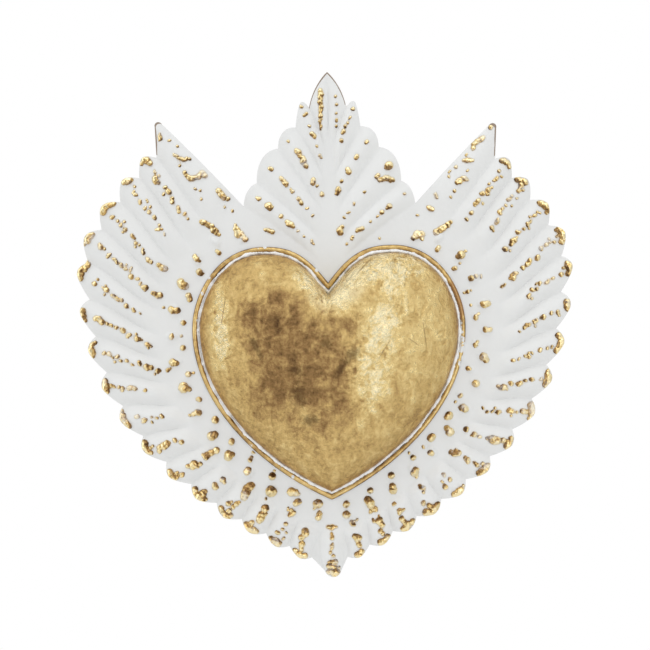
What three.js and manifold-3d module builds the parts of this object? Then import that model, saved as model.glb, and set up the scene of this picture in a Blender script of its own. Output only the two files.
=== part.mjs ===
// A wall-hung metal ex-voto: a winged, rayed sacred heart in embossed and gilded sheet metal.
// Millimetres. The front faces -Y, +Z is up, and the origin is the pivot of the hanging ring.
import * as THREE from 'three';
import { mergeVertices } from 'three/addons/utils/BufferGeometryUtils.js';
import Module from 'manifold-3d';

const wasm = await Module();
wasm.setup();

// Sheet and wire
const sheetThickness = 0.8;
const shellThickness = 0.8;
const beadWidth = 3.0;
const beadHeight = 1.9;
const grooveWidth = 1.5;
const beadJointGap = 0.5;
const beadJointAt = 0.86;

// Heart outline on the bead's outer edge, measured from its widest line
const heartHalfWidth = 80.9;
const heartLobeHeight = 48.9;
const heartLobeOffset = 38.3;
const heartCleftHeight = 27.1;
const heartPointDepth = 101.4;
const cleftHandle = [13.6, 18.1];
const lobeInnerHandle = 15.3;
const lobeOuterHandle = 26.9;
const sideUpperHandle = 22.1;
const sideLowerHandle = 40.7;
const pointHandle = [46.4, 21.4];

// Domed heart shell
const domeHeight = 24;
const domeFootHeight = 1.6;
const domeEdgePower = 2.3;
const domeFullness = 0.58;
const domeCentreDrop = 12;
const domeRounding = 0.85;
const domeRoundingEase = 1.2;

// Clinch tabs of the shell, and the slots in the plate that they go through
const tabWidth = 8;
const tabFoot = 6;
const tabInset = 0.4;
const slotClearance = 0.3;
const tabPlaces = [0.2, 0.52, 0.8];

// Wings: the scalloped line through the notches, the tips and the ribs
const ribsPerWing = 16;
const wingTip = [98.8, 119.6];
const wingTipRadius = 2.2;
const wingTipWrap = 150;
const wingTipShare = 0.5;
const wingEdgeBow = 0.5;
const firstNotch = [100.1, 100.7];
const firstNotchHandle = [11.8, 14.1];
const wingHalfSpan = 140.2;
const wingSpanHeight = 38;
const spanUpperHandle = 18.3;
const spanLowerHandle = 99.1;
const tailDepth = 140.6;
const tailHandle = [76.5, 38.7];
const wingOffCentre = -1.8;
const wingLean = 2;
const leaningRibs = 6;
const ribSwell = 0.5;
const ribLean = 0.1;
const scallopAtTop = 0.42;
const scallopAtTail = 0.24;
const scallopRoundness = 1.7;
const scallopTurn = 12;
const edgeAngleTop = 48;
const edgeAngleTail = -96;
const edgeAngleEase = 1.3;
const rootAngleTop = 52;
const rootAngleTail = -73;
const wingRootHalfGap = 68;
const ribRelief = 3.4;
const wingTipRelief = 2.6;
const ribRiseShare = 0.4;
const ribFallShare = 0.25;
const ribEdgeDrop = 0.3;

// Tail spike between the wings
const tailRootHalfGap = 6;
const tailHalfWidth = 10.5;
const spikeRadius = 5;
const spikeReach = 6.6;
const spikeWrap = 11;

// Flame leaf above the cleft, heights measured from the cleft
const leafOffCentre = 1.5;
const leafApex = 124.7;
const leafNotches = [[11, 103.7], [19.2, 92.2], [29.8, 79.8], [42.7, 59.5], [50.8, 46]];
const veinRoots = [[2.2, 78], [2.6, 60], [3.3, 39], [4.4, 24], [6, 12.5]];
const veinTop = 84;
const lobeReach = [8.7, 3.9, 5.1, 2.5];
const lobeAngle = [83, 52, 52, 55];
const lobeRoundness = [1.65, 2.1, 2.15, 2.15];
const spearBulge = 1.8;
const spearBulgeAngle = 30;
const leafCurl = 6;
const leafRelief = 2.6;

// Flat band round the heart with its two rings of punched bosses
const bandWidth = 17;
const bossesPerSide = 14;
const innerRingOffset = 6.2;
const innerBossLength = 4.4;
const innerBossWidth = 3.6;
const innerBossHeight = 1.1;
const outerRingOffset = 12;
const outerBossLength = 7.4;
const outerBossWidth = 4.6;
const outerBossHeight = 1.5;
const innerRingTopGap = 51;
const innerRingTailGap = 9;
const outerRingTopGap = 66;
const outerRingTailGap = 8;

// Hanger on the back
const hangerHeight = 14;
const strapWidth = 9;
const strapThickness = 0.8;
const strapLeg = 6;
const strapBend = 0.4;
const ringWire = 2;
const pivotClearance = 0.3;
const ringWidth = 16;
const ringHeight = 19;
const ringCorner = 2.2;

// Facets
const acrossRib = 6;
const alongRib = 6;
const heartSteps = 30;
const domeRings = 8;
const beadSides = 6;
const wireSides = 12;
const bossSides = 8;
const arcSteps = 6;
const outlineSteps = 300;

const white = { color: 0xe9e8e2, roughness: 0.6, metalness: 0.1 };
const gilt = { color: 0xb98d42, roughness: 0.42, metalness: 1 };
const bareMetal = { color: 0x8d8a84, roughness: 0.5, metalness: 1 };

// Plane geometry

const flat = (x, z) => new THREE.Vector2(x, z);
const heading = (degrees, side) => {
  const angle = THREE.MathUtils.degToRad(degrees);
  return flat(side * Math.cos(angle), Math.sin(angle));
};
const between = (a, b, s) => flat(a.x * (1 - s) + b.x * s, a.y * (1 - s) + b.y * s);
const smooth = (value) => THREE.MathUtils.smoothstep(value, 0, 1);

// A point at fraction t on the curve that leaves a along one heading and reaches b along another.
function bowed(a, headingA, b, headingB, t) {
  const reach = a.distanceTo(b);
  const point = a.clone().multiplyScalar(2 * t ** 3 - 3 * t ** 2 + 1);
  point.addScaledVector(headingA, reach * (t ** 3 - 2 * t ** 2 + t));
  point.addScaledVector(b, 3 * t ** 2 - 2 * t ** 3);
  point.addScaledVector(headingB, reach * (t ** 3 - t ** 2));
  return point;
}

// A line of points that can be read at any fraction of its length.
function measured(points) {
  const lengths = [0];
  for (let i = 1; i < points.length; i++) {
    lengths.push(lengths[i - 1] + points[i].distanceTo(points[i - 1]));
  }
  const total = lengths[lengths.length - 1];
  const stepAt = (fraction) => {
    let i = 1;
    while (i < points.length - 1 && lengths[i] < fraction * total) i++;
    return i;
  };
  const at = (fraction) => {
    const i = stepAt(fraction);
    const share = (fraction * total - lengths[i - 1]) / (lengths[i] - lengths[i - 1]);
    return between(points[i - 1], points[i], share);
  };
  const headingAt = (fraction) => {
    const i = stepAt(fraction);
    return points[i].clone().sub(points[i - 1]).normalize();
  };
  // The fraction, looking back from the end, at which the line is this far from the axis.
  const whereFromEnd = (x) => {
    let i = points.length - 1;
    while (i > 1 && points[i - 1].x < x) i--;
    const share = (x - points[i].x) / (points[i - 1].x - points[i].x);
    return THREE.MathUtils.lerp(lengths[i], lengths[i - 1], share) / total;
  };
  // The same, looking from the start.
  const whereFromStart = (x) => {
    let i = 1;
    while (i < points.length - 1 && points[i].x < x) i++;
    const share = (x - points[i - 1].x) / (points[i].x - points[i - 1].x);
    return THREE.MathUtils.lerp(lengths[i - 1], lengths[i], share) / total;
  };
  return { at, headingAt, whereFromEnd, whereFromStart };
}

// Right half of the heart's outline, from the cleft round to the bottom point.
const heartHalf = new THREE.Path()
  .moveTo(0, heartCleftHeight)
  .bezierCurveTo(
    cleftHandle[0], heartCleftHeight + cleftHandle[1],
    heartLobeOffset - lobeInnerHandle, heartLobeHeight,
    heartLobeOffset, heartLobeHeight)
  .bezierCurveTo(
    heartLobeOffset + lobeOuterHandle, heartLobeHeight,
    heartHalfWidth, sideUpperHandle,
    heartHalfWidth, 0)
  .bezierCurveTo(
    heartHalfWidth, -sideLowerHandle,
    pointHandle[0], pointHandle[1] - heartPointDepth,
    0, -heartPointDepth);

// The half outline moved outwards by a distance, cut off or drawn on to the axis at both ends.
function heartOffset(distance) {
  const points = [];
  for (let i = 0; i <= outlineSteps; i++) {
    const point = heartHalf.getPoint(i / outlineSteps);
    const along = heartHalf.getTangent(i / outlineSteps);
    points.push({ at: flat(point.x - along.y * distance, point.y + along.x * distance), along });
  }
  const onAxis = ({ at, along }) => flat(0, at.y - (along.y * at.x) / along.x);
  const kept = points.filter(({ at }) => at.x > 1e-3);
  const line = kept.map(({ at }) => at);
  return measured([onAxis(kept[0]), ...line, onAxis(kept[kept.length - 1])]);
}

// Closed loop of points round the heart at a distance from its outline.
function heartLoop(distance, stepsPerHalf = heartSteps) {
  const half = heartOffset(distance);
  const right = [];
  for (let i = 0; i <= stepsPerHalf; i++) right.push(half.at(i / stepsPerHalf));
  right[0].x = 0;
  right[stepsPerHalf].x = 0;
  const left = right.slice(1, -1).reverse().map((p) => flat(-p.x, p.y));
  return [...right, ...left];
}

// Solids from points

function geometryOf(triangles) {
  const positions = triangles.flatMap((corners) => corners.flatMap((p) => [p.x, p.y, p.z]));
  const geometry = new THREE.BufferGeometry();
  geometry.setAttribute('position', new THREE.Float32BufferAttribute(positions, 3));
  return mergeVertices(geometry, 1e-3);
}

function toSolid(geometry) {
  const bare = geometry.clone();
  bare.deleteAttribute('normal');
  bare.deleteAttribute('uv');
  const merged = mergeVertices(bare, 1e-3);
  return new wasm.Manifold(new wasm.Mesh({
    numProp: 3,
    vertProperties: merged.attributes.position.array,
    triVerts: new Uint32Array(merged.index.array),
  }));
}

function fromSolid(solid) {
  const mesh = solid.getMesh();
  const geometry = new THREE.BufferGeometry();
  geometry.setAttribute('position', new THREE.BufferAttribute(mesh.vertProperties, 3));
  geometry.setIndex(new THREE.BufferAttribute(mesh.triVerts, 1));
  return geometry;
}

// A closed skin over rings of points. The rings close on themselves, or end in a pole at each end.
function skin(rings, poles) {
  const triangles = [];
  const sides = rings[0].length;
  const joins = poles ? rings.length - 1 : rings.length;
  for (let r = 0; r < joins; r++) {
    const ring = rings[r];
    const next = rings[(r + 1) % rings.length];
    for (let i = 0; i < sides; i++) {
      const j = (i + 1) % sides;
      triangles.push([ring[i], ring[j], next[j]], [ring[i], next[j], next[i]]);
    }
  }
  if (poles) {
    const last = rings[rings.length - 1];
    for (let i = 0; i < sides; i++) {
      const j = (i + 1) % sides;
      triangles.push([poles[0], rings[0][j], rings[0][i]], [poles[1], last[i], last[j]]);
    }
  }
  let volume = 0;
  for (const [a, b, c] of triangles) volume += a.dot(new THREE.Vector3().crossVectors(b, c));
  return geometryOf(volume < 0 ? triangles.map(([a, b, c]) => [a, c, b]) : triangles);
}

// A sheet of even depth behind an open front surface, with walls round every free edge.
function thickened(front, depth) {
  const corners = front.attributes.position;
  const index = front.index.array;
  const point = (i, behind) => new THREE.Vector3(
    corners.getX(i), corners.getY(i) + (behind ? depth : 0), corners.getZ(i));
  const edges = new Set();
  for (let t = 0; t < index.length; t += 3) {
    for (let e = 0; e < 3; e++) edges.add(`${index[t + e]} ${index[t + ((e + 1) % 3)]}`);
  }
  const triangles = [];
  for (let t = 0; t < index.length; t += 3) {
    const [a, b, c] = index.slice(t, t + 3);
    triangles.push([point(a), point(b), point(c)]);
    triangles.push([point(a, true), point(c, true), point(b, true)]);
  }
  for (const edge of edges) {
    const [a, b] = edge.split(' ').map(Number);
    if (edges.has(`${b} ${a}`)) continue;
    triangles.push([point(b), point(a), point(a, true)]);
    triangles.push([point(b), point(a, true), point(b, true)]);
  }
  return geometryOf(triangles);
}

// Embossed plate

// Distance of each notch along the scalloped line: wide ribs at mid side, narrow ones at the ends.
function notchShares() {
  const shares = [0];
  for (let rib = 0; rib < ribsPerWing; rib++) {
    const x = (rib + 0.5) / ribsPerWing;
    const pitch = 1 + ribSwell * Math.sin(Math.PI * x) + ribLean * Math.sin(2 * Math.PI * x);
    shares.push(shares[rib] + pitch);
  }
  return shares.map((share) => share / shares[ribsPerWing]);
}

const notchLine = measured(new THREE.Path()
  .moveTo(...firstNotch)
  .bezierCurveTo(
    firstNotch[0] + firstNotchHandle[0], firstNotch[1] - firstNotchHandle[1],
    wingHalfSpan, wingSpanHeight + spanUpperHandle,
    wingHalfSpan, wingSpanHeight)
  .bezierCurveTo(
    wingHalfSpan, wingSpanHeight - spanLowerHandle,
    tailHandle[0], tailHandle[1] - tailDepth,
    0, -tailDepth)
  .getPoints(outlineSteps));
const lastNotch = notchLine.whereFromEnd(tailHalfWidth);
const notchShare = notchShares();
const rootLine = heartOffset(bandWidth);
const firstRoot = rootLine.whereFromStart(wingRootHalfGap);
const lastRoot = rootLine.whereFromEnd(tailRootHalfGap);

const edgeAngle = (x) => edgeAngleTop + (edgeAngleTail - edgeAngleTop) * x ** edgeAngleEase;
const rootAngle = (x) => rootAngleTop + (rootAngleTail - rootAngleTop) * x;

// The crease between two wing ribs, numbered from the wing tip, at fraction t from root to notch.
// The beaten wings aren't quite alike: they lie off centre, less so towards the tips, and the left
// one's upper notches stand a little higher.
function wingCrease(number, side) {
  const x = number / ribsPerWing;
  const root = rootLine.at(THREE.MathUtils.lerp(firstRoot, lastRoot, x));
  const notch = notchLine.at(notchShare[number] * lastNotch);
  const lean = side * wingLean * (1 - smooth(number / leaningRibs));
  const offCentre = wingOffCentre * smooth((number + 1) / leaningRibs);
  const from = flat(side * root.x, root.y);
  const to = flat(side * notch.x + offCentre, notch.y - lean);
  return (t) => bowed(from, heading(rootAngle(x), side), to, heading(edgeAngle(x), side), t);
}

const leafPoint = ([x, z], side) => flat(side * x + leafOffCentre, z + heartCleftHeight);

// The crease between two leaf ribs, numbered from the spear, at fraction t from vein to notch.
function leafCrease(number, side) {
  const from = leafPoint(veinRoots[number], side);
  const to = leafPoint(leafNotches[number], side);
  const chord = to.clone().sub(from);
  const lean = THREE.MathUtils.radToDeg(Math.atan2(chord.y, side * chord.x));
  return (t) => bowed(from, heading(lean + leafCurl, side), to, heading(lean - leafCurl, side), t);
}

// How far a rib's outer end bulges past its two notches, at share s of the way across.
const scallop = (direction, reach, power) => (s) => (
  direction.clone().multiplyScalar(reach * (1 - Math.abs(2 * s - 1) ** power)));

// Front facets of one rib between two creases. The edge function moves its outer end outwards.
function ribFacets(creaseA, creaseB, edge, relief) {
  const rows = [];
  for (let j = 0; j <= alongRib; j++) {
    const t = j / alongRib;
    const fall = ribEdgeDrop * smooth((t - 1 + ribFallShare) / ribFallShare);
    const rise = relief * smooth(t / ribRiseShare) * (1 - fall);
    const row = [];
    for (let i = 0; i <= acrossRib; i++) {
      const s = i / acrossRib;
      const point = between(creaseA(t), creaseB(t), s);
      if (i > 0 && i < acrossRib) point.addScaledVector(edge(s), t ** 3);
      const height = i > 0 && i < acrossRib ? rise * Math.sin(Math.PI * s) : 0;
      row.push(new THREE.Vector3(point.x, -height, point.y));
    }
    rows.push(row);
  }
  const facets = [];
  const rootA = rows[0][0];
  const rootB = rows[0][acrossRib];
  const middle = acrossRib / 2;
  for (let i = 0; i < acrossRib; i++) {
    facets.push([i < middle ? rootA : rootB, rows[1][i], rows[1][i + 1]]);
  }
  facets.push([rootA, rows[1][middle], rootB]);
  for (let j = 1; j < alongRib; j++) {
    for (let i = 0; i < acrossRib; i++) {
      const [a, b, c, d] = [rows[j][i], rows[j][i + 1], rows[j + 1][i + 1], rows[j + 1][i]];
      facets.push([a, b, c], [a, c, d]);
    }
  }
  return facets;
}

function wingRib(number, side) {
  const x = (number - 0.5) / ribsPerWing;
  const [a, b] = [wingCrease(number - 1, side), wingCrease(number, side)];
  const reach = a(1).distanceTo(b(1)) * THREE.MathUtils.lerp(scallopAtTop, scallopAtTail, x);
  const edge = scallop(heading(edgeAngle(x) + scallopTurn, side), reach, scallopRoundness);
  return ribFacets(a, b, edge, ribRelief);
}

// The wing's top rib. Its inner side is the slightly bowed free edge from the leaf to the round wing
// tip, and its outer end runs round that tip and straight down to the first notch.
function wingTipRib(side) {
  const centre = flat(side * wingTip[0], wingTip[1] - side * wingLean);
  const foot = leafPoint(leafNotches[leafNotches.length - 1], side);
  const crease = wingCrease(0, side);
  const notch = crease(1);
  const slope = THREE.MathUtils.radToDeg(Math.atan2(centre.y - foot.y, side * (centre.x - foot.x)));
  const roundTip = (turn) => (
    centre.clone().addScaledVector(heading(slope + 90 - turn, side), wingTipRadius));
  const outline = (s) => (s < wingTipShare
    ? roundTip(wingTipWrap * (s / wingTipShare))
    : between(roundTip(wingTipWrap), notch, (s - wingTipShare) / (1 - wingTipShare)));
  const freeEdge = (t) => between(foot, roundTip(0), t)
    .addScaledVector(heading(slope + 90, side), wingEdgeBow * Math.sin(Math.PI * t));
  const edge = (s) => outline(s).sub(between(roundTip(0), notch, s));
  return ribFacets(freeEdge, crease, edge, wingTipRelief);
}

function leafLobe(number, side) {
  const direction = heading(lobeAngle[number], side);
  const edge = scallop(direction, lobeReach[number], lobeRoundness[number]);
  return ribFacets(leafCrease(number, side), leafCrease(number + 1, side), edge, leafRelief);
}

function spearHalf(side) {
  const from = leafPoint([0, veinTop], side);
  const to = leafPoint([0, leafApex], side);
  const edge = scallop(heading(spearBulgeAngle, side), spearBulge, 2);
  return ribFacets((t) => between(from, to, t), leafCrease(0, side), edge, leafRelief);
}

// The tail's outline runs in from each notch and round a ball-shaped end.
function tailRib() {
  const [left, right] = [wingCrease(ribsPerWing, -1), wingCrease(ribsPerWing, 1)];
  const centre = flat(0, right(1).y - spikeReach);
  const edge = (s) => {
    const turn = THREE.MathUtils.lerp(180 + spikeWrap, 360 - spikeWrap, s);
    const outline = centre.clone().addScaledVector(heading(turn, 1), spikeRadius);
    return outline.sub(between(left(1), right(1), s));
  };
  return ribFacets(left, right, edge, ribRelief);
}

// Slots for the shell's tabs, each as its four corners.
function tabFrames() {
  const foot = heartOffset(-(beadWidth + grooveWidth + tabInset + shellThickness / 2));
  return [1, -1].flatMap((side) => tabPlaces.map((place) => {
    const at = foot.at(place);
    const along = foot.headingAt(place);
    return {
      at: flat(side * at.x, at.y),
      along: flat(side * along.x, along.y),
      inward: flat(side * along.y, -along.x),
    };
  }));
}

function slotCorners({ at, along, inward }) {
  const halfLength = tabWidth / 2 + slotClearance;
  const halfWidth = shellThickness / 2 + slotClearance;
  return [[1, 1], [1, -1], [-1, -1], [-1, 1]].map(([a, b]) => (
    at.clone().addScaledVector(along, a * halfLength).addScaledVector(inward, b * halfWidth)));
}

// The flat ground inside the ribs: pan, boss band and the vein up the leaf.
function groundFacets() {
  const sideOutline = (side) => {
    const points = [];
    for (let k = ribsPerWing; k >= 0; k--) points.push(wingCrease(k, side)(0));
    const lowest = leafCrease(leafNotches.length - 1, side);
    for (let j = alongRib; j >= 0; j--) points.push(lowest(j / alongRib));
    for (let k = leafNotches.length - 2; k >= 0; k--) points.push(leafCrease(k, side)(0));
    return points;
  };
  const outline = [...sideOutline(1), leafPoint([0, veinTop], 1), ...sideOutline(-1).reverse()];
  const holes = tabFrames().map(slotCorners).map((corners) => (
    THREE.ShapeUtils.isClockWise(corners) ? corners : corners.reverse()));
  const corners = [...outline, ...holes.flat()].map((p) => new THREE.Vector3(p.x, 0, p.y));
  return THREE.ShapeUtils.triangulateShape(outline, holes).map((face) => (
    face.map((i) => corners[i])));
}

// A low half-ellipsoid standing on the middle of the sheet.
function boss(at, along, length, width, height) {
  const foot = sheetThickness / 2;
  const dome = new THREE.LatheGeometry([flat(0, 0), flat(1, 0), heading(45, 1), flat(0, 1)], bossSides);
  const across = new THREE.Vector3(along.x, 0, along.y).multiplyScalar(width / 2);
  const towards = new THREE.Vector3(along.y, 0, -along.x).multiplyScalar(length / 2);
  const out = new THREE.Vector3(0, -(height + foot), 0);
  dome.applyMatrix4(new THREE.Matrix4().makeBasis(across, out, towards));
  dome.translate(at.x, foot, at.y);
  return toSolid(dome);
}

// Bosses on both sides of the heart, spaced evenly between their distances from the axis.
function bossRing(offset, topGap, tailGap, length, width, height) {
  const line = heartOffset(offset);
  const [start, end] = [line.whereFromStart(topGap), line.whereFromEnd(tailGap)];
  const bosses = [];
  for (const side of [1, -1]) {
    for (let i = 0; i < bossesPerSide; i++) {
      const share = THREE.MathUtils.lerp(start, end, i / (bossesPerSide - 1));
      const along = line.headingAt(share);
      const at = line.at(share);
      bosses.push(boss(
        flat(side * at.x, at.y), flat(side * along.x, along.y), length, width, height));
    }
  }
  return bosses;
}

function rayPlateGeometry() {
  const facets = [...groundFacets(), ...tailRib()];
  for (const side of [1, -1]) {
    facets.push(...wingTipRib(side), ...spearHalf(side));
    for (let rib = 1; rib <= ribsPerWing; rib++) facets.push(...wingRib(rib, side));
    for (let lobe = 0; lobe < lobeReach.length; lobe++) facets.push(...leafLobe(lobe, side));
  }
  const facing = facets.map(([a, b, c]) => {
    const turn = (b.x - a.x) * (c.z - a.z) - (b.z - a.z) * (c.x - a.x);
    return turn > 0 ? [a, b, c] : [a, c, b];
  });
  const sheet = toSolid(thickened(geometryOf(facing), sheetThickness));
  const bosses = [
    ...bossRing(innerRingOffset, innerRingTopGap, innerRingTailGap,
      innerBossLength, innerBossWidth, innerBossHeight),
    ...bossRing(outerRingOffset, outerRingTopGap, outerRingTailGap,
      outerBossLength, outerBossWidth, outerBossHeight),
  ];
  return fromSolid(bosses.reduce((plate, dome) => plate.add(dome), sheet));
}

// Heart shell

// One ring of the dome at a share of the way from the centre to the foot.
function domeRing(loop, share, height) {
  const centre = -domeCentreDrop;
  const roundness = (1 - share) ** domeRoundingEase;
  return loop.map((p) => {
    const reach = Math.hypot(p.x, p.y - centre);
    const even = THREE.MathUtils.lerp(1, heartHalfWidth / reach, domeRounding * roundness);
    return new THREE.Vector3(p.x * share * even, -height, centre + (p.y - centre) * share * even);
  });
}

const domeRise = (share) => (1 - share ** domeEdgePower) ** domeFullness;

function shellWall(loop, height) {
  const rings = [domeRing(loop, 1, 0)];
  for (let r = 0; r < domeRings; r++) {
    const share = Math.cos((r / domeRings) * (Math.PI / 2));
    rings.push(domeRing(loop, share, domeFootHeight + height * domeRise(share)));
  }
  return rings;
}

function shellTab({ at, along, inward }) {
  const half = shellThickness / 2;
  const back = sheetThickness + shellThickness;
  const section = new THREE.Shape([
    flat(-half, -domeFootHeight), flat(half, -domeFootHeight), flat(half, sheetThickness),
    flat(half + tabFoot, sheetThickness), flat(half + tabFoot, back), flat(-half, back),
  ]);
  const tab = new THREE.ExtrudeGeometry(section, { depth: tabWidth, bevelEnabled: false });
  tab.translate(0, 0, -tabWidth / 2);
  const inwards = new THREE.Vector3(inward.x, 0, inward.y);
  const back3 = new THREE.Vector3(0, 1, 0);
  const sideways = new THREE.Vector3().crossVectors(inwards, back3);
  tab.applyMatrix4(new THREE.Matrix4().makeBasis(inwards, back3, sideways));
  tab.translate(at.x, 0, at.y);
  return toSolid(tab);
}

function heartShellGeometry() {
  const footOffset = -(beadWidth + grooveWidth);
  const outer = shellWall(heartLoop(footOffset), domeHeight - domeFootHeight);
  const inner = shellWall(
    heartLoop(footOffset - shellThickness), domeHeight - domeFootHeight - shellThickness);
  const poles = [domeHeight, domeHeight - shellThickness].map((height) => (
    new THREE.Vector3(0, -height, -domeCentreDrop)));
  const shell = toSolid(skin([...outer.reverse(), ...inner], poles));
  return fromSolid(tabFrames().map(shellTab).reduce((made, tab) => made.add(tab), shell));
}

// Heart bead

function heartBeadGeometry() {
  const loops = [];
  for (let i = 0; i <= beadSides; i++) {
    const turn = (i / beadSides) * Math.PI;
    const across = (beadWidth / 2) * (1 - Math.cos(turn));
    const height = beadHeight * Math.sin(turn);
    const lift = i === 0 || i === beadSides ? 0 : -height;
    loops.push(heartLoop(-across).map((p) => new THREE.Vector3(p.x, lift, p.y)));
  }
  const bead = toSolid(skin(loops));
  const joint = heartOffset(-beadWidth / 2);
  const at = joint.at(beadJointAt);
  const along = joint.headingAt(beadJointAt);
  const cut = new THREE.BoxGeometry(beadJointGap, 4 * beadHeight, 3 * beadWidth);
  cut.rotateY(-Math.atan2(along.y, -along.x));
  cut.translate(-at.x, 0, at.y);
  return fromSolid(bead.subtract(toSolid(cut)));
}

// Hanger

// The ring's bar turns at this depth behind the plate's front, halfway through the strap's bend.
const pivotDepth = sheetThickness + pivotClearance + ringWire / 2;

function hangerStrapGeometry() {
  const inner = ringWire / 2 + pivotClearance;
  const outer = inner + strapThickness;
  const outerBend = strapBend + strapThickness;
  const corner = inner - strapBend;
  const bendDepth = pivotDepth + corner;
  const legTop = sheetThickness + strapThickness;
  const end = outer + strapLeg;
  const section = new THREE.Shape()
    .moveTo(-end, sheetThickness)
    .lineTo(-inner, sheetThickness)
    .absarc(-corner, bendDepth, strapBend, Math.PI, Math.PI / 2, true)
    .absarc(corner, bendDepth, strapBend, Math.PI / 2, 0, true)
    .lineTo(inner, sheetThickness)
    .lineTo(end, sheetThickness)
    .lineTo(end, legTop)
    .lineTo(outer, legTop)
    .absarc(corner, bendDepth, outerBend, 0, Math.PI / 2, false)
    .absarc(-corner, bendDepth, outerBend, Math.PI / 2, Math.PI, false)
    .lineTo(-outer, legTop)
    .lineTo(-end, legTop);
  return new THREE.ExtrudeGeometry(
    section, { depth: strapWidth, bevelEnabled: false, curveSegments: arcSteps });
}

// A D-shaped ring of round wire, its straight bar on the pivot and its bow hanging down.
function hangingRingGeometry() {
  const half = ringWidth / 2;
  const bow = new THREE.Path()
    .moveTo(0, 0)
    .lineTo(half - ringCorner, 0)
    .absarc(half - ringCorner, -ringCorner, ringCorner, Math.PI / 2, 0, true)
    .lineTo(half, half - ringHeight)
    .absarc(0, half - ringHeight, half, 0, -Math.PI, true)
    .lineTo(-half, -ringCorner)
    .absarc(ringCorner - half, -ringCorner, ringCorner, Math.PI, Math.PI / 2, true)
    .lineTo(0, 0);
  const points = bow.getPoints(arcSteps).slice(1);
  const rings = points.map((p, i) => {
    const before = points[(i + points.length - 1) % points.length];
    const after = points[(i + 1) % points.length];
    const along = after.clone().sub(before).normalize();
    const ring = [];
    for (let side = 0; side < wireSides; side++) {
      const turn = (2 * Math.PI * side) / wireSides;
      const out = (ringWire / 2) * Math.cos(turn);
      ring.push(new THREE.Vector3(
        p.x - along.y * out, (ringWire / 2) * Math.sin(turn), p.y + along.x * out));
    }
    return ring;
  });
  return skin(rings);
}

function piece(name, geometry, finish) {
  const mesh = new THREE.Mesh(geometry, new THREE.MeshStandardMaterial(finish));
  mesh.name = name;
  return mesh;
}

const exVoto = new THREE.Group();
exVoto.position.set(0, -pivotDepth, -hangerHeight);

exVoto.add(piece('ray_plate', rayPlateGeometry(), white));
exVoto.add(piece('heart_shell', heartShellGeometry(), gilt));
exVoto.add(piece('heart_bead', heartBeadGeometry(), gilt));

const strap = piece('hanger_strap', hangerStrapGeometry(), bareMetal);
strap.rotation.y = -Math.PI / 2;
strap.position.set(strapWidth / 2, 0, hangerHeight);
exVoto.add(strap);

const ring = piece('hanging_ring', hangingRingGeometry(), bareMetal);
ring.position.set(0, pivotDepth, hangerHeight);
exVoto.add(ring);

export default exVoto;
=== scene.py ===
# Looks of a wall-hung metal ex-voto: white rubbed paint over gilding on an embossed plate, a domed gilt
# heart, its wire bead, and the hanger behind. Sizes are millimetres and become metres where a mesh is made.
import math

import bmesh
import bpy
import numpy as np
from mathutils import Euler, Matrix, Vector
from mathutils.geometry import delaunay_2d_cdt
from mathutils.kdtree import KDTree


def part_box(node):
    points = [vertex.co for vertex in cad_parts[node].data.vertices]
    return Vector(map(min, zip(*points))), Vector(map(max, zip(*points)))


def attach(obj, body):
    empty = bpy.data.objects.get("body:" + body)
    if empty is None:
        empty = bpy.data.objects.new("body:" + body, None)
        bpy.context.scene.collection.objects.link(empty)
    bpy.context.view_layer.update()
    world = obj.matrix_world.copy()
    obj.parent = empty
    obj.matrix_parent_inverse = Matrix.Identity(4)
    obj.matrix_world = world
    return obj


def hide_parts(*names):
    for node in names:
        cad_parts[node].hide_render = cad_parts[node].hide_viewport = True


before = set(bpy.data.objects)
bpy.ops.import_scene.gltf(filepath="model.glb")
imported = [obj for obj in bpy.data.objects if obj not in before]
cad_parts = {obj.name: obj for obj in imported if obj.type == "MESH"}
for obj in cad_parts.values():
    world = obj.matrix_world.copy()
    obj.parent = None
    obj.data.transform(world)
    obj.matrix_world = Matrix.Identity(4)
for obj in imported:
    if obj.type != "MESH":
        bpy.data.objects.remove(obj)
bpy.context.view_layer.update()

MM = 0.001
METRE = 1000.0

# Sheet and wire
SHEET_THICKNESS = 0.8
SHELL_THICKNESS = 0.8
BEAD_WIDTH = 3.0
BEAD_HEIGHT = 1.9
GROOVE_WIDTH = 1.5
BEAD_JOINT_GAP = 0.5
BEAD_JOINT_AT = 0.86

# Heart outline on the bead's outer edge, measured from its widest line
HEART_HALF_WIDTH = 80.9
HEART_LOBE_HEIGHT = 48.9
HEART_LOBE_OFFSET = 38.3
HEART_CLEFT_HEIGHT = 27.1
HEART_POINT_DEPTH = 101.4
CLEFT_HANDLE = (13.6, 18.1)
LOBE_INNER_HANDLE = 15.3
LOBE_OUTER_HANDLE = 26.9
SIDE_UPPER_HANDLE = 22.1
SIDE_LOWER_HANDLE = 40.7
POINT_HANDLE = (46.4, 21.4)

# Domed heart shell and its clinch tabs
DOME_HEIGHT = 24.0
DOME_FOOT_HEIGHT = 1.6
DOME_EDGE_POWER = 2.3
DOME_FULLNESS = 0.58
DOME_CENTRE_DROP = 12.0
DOME_ROUNDING = 0.85
DOME_ROUNDING_EASE = 1.2
TAB_WIDTH = 8.0
TAB_FOOT = 6.0
TAB_INSET = 0.4
TAB_BEND = 0.25
SLOT_CLEARANCE = 0.3
TAB_PLACES = (0.2, 0.52, 0.8)

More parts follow.
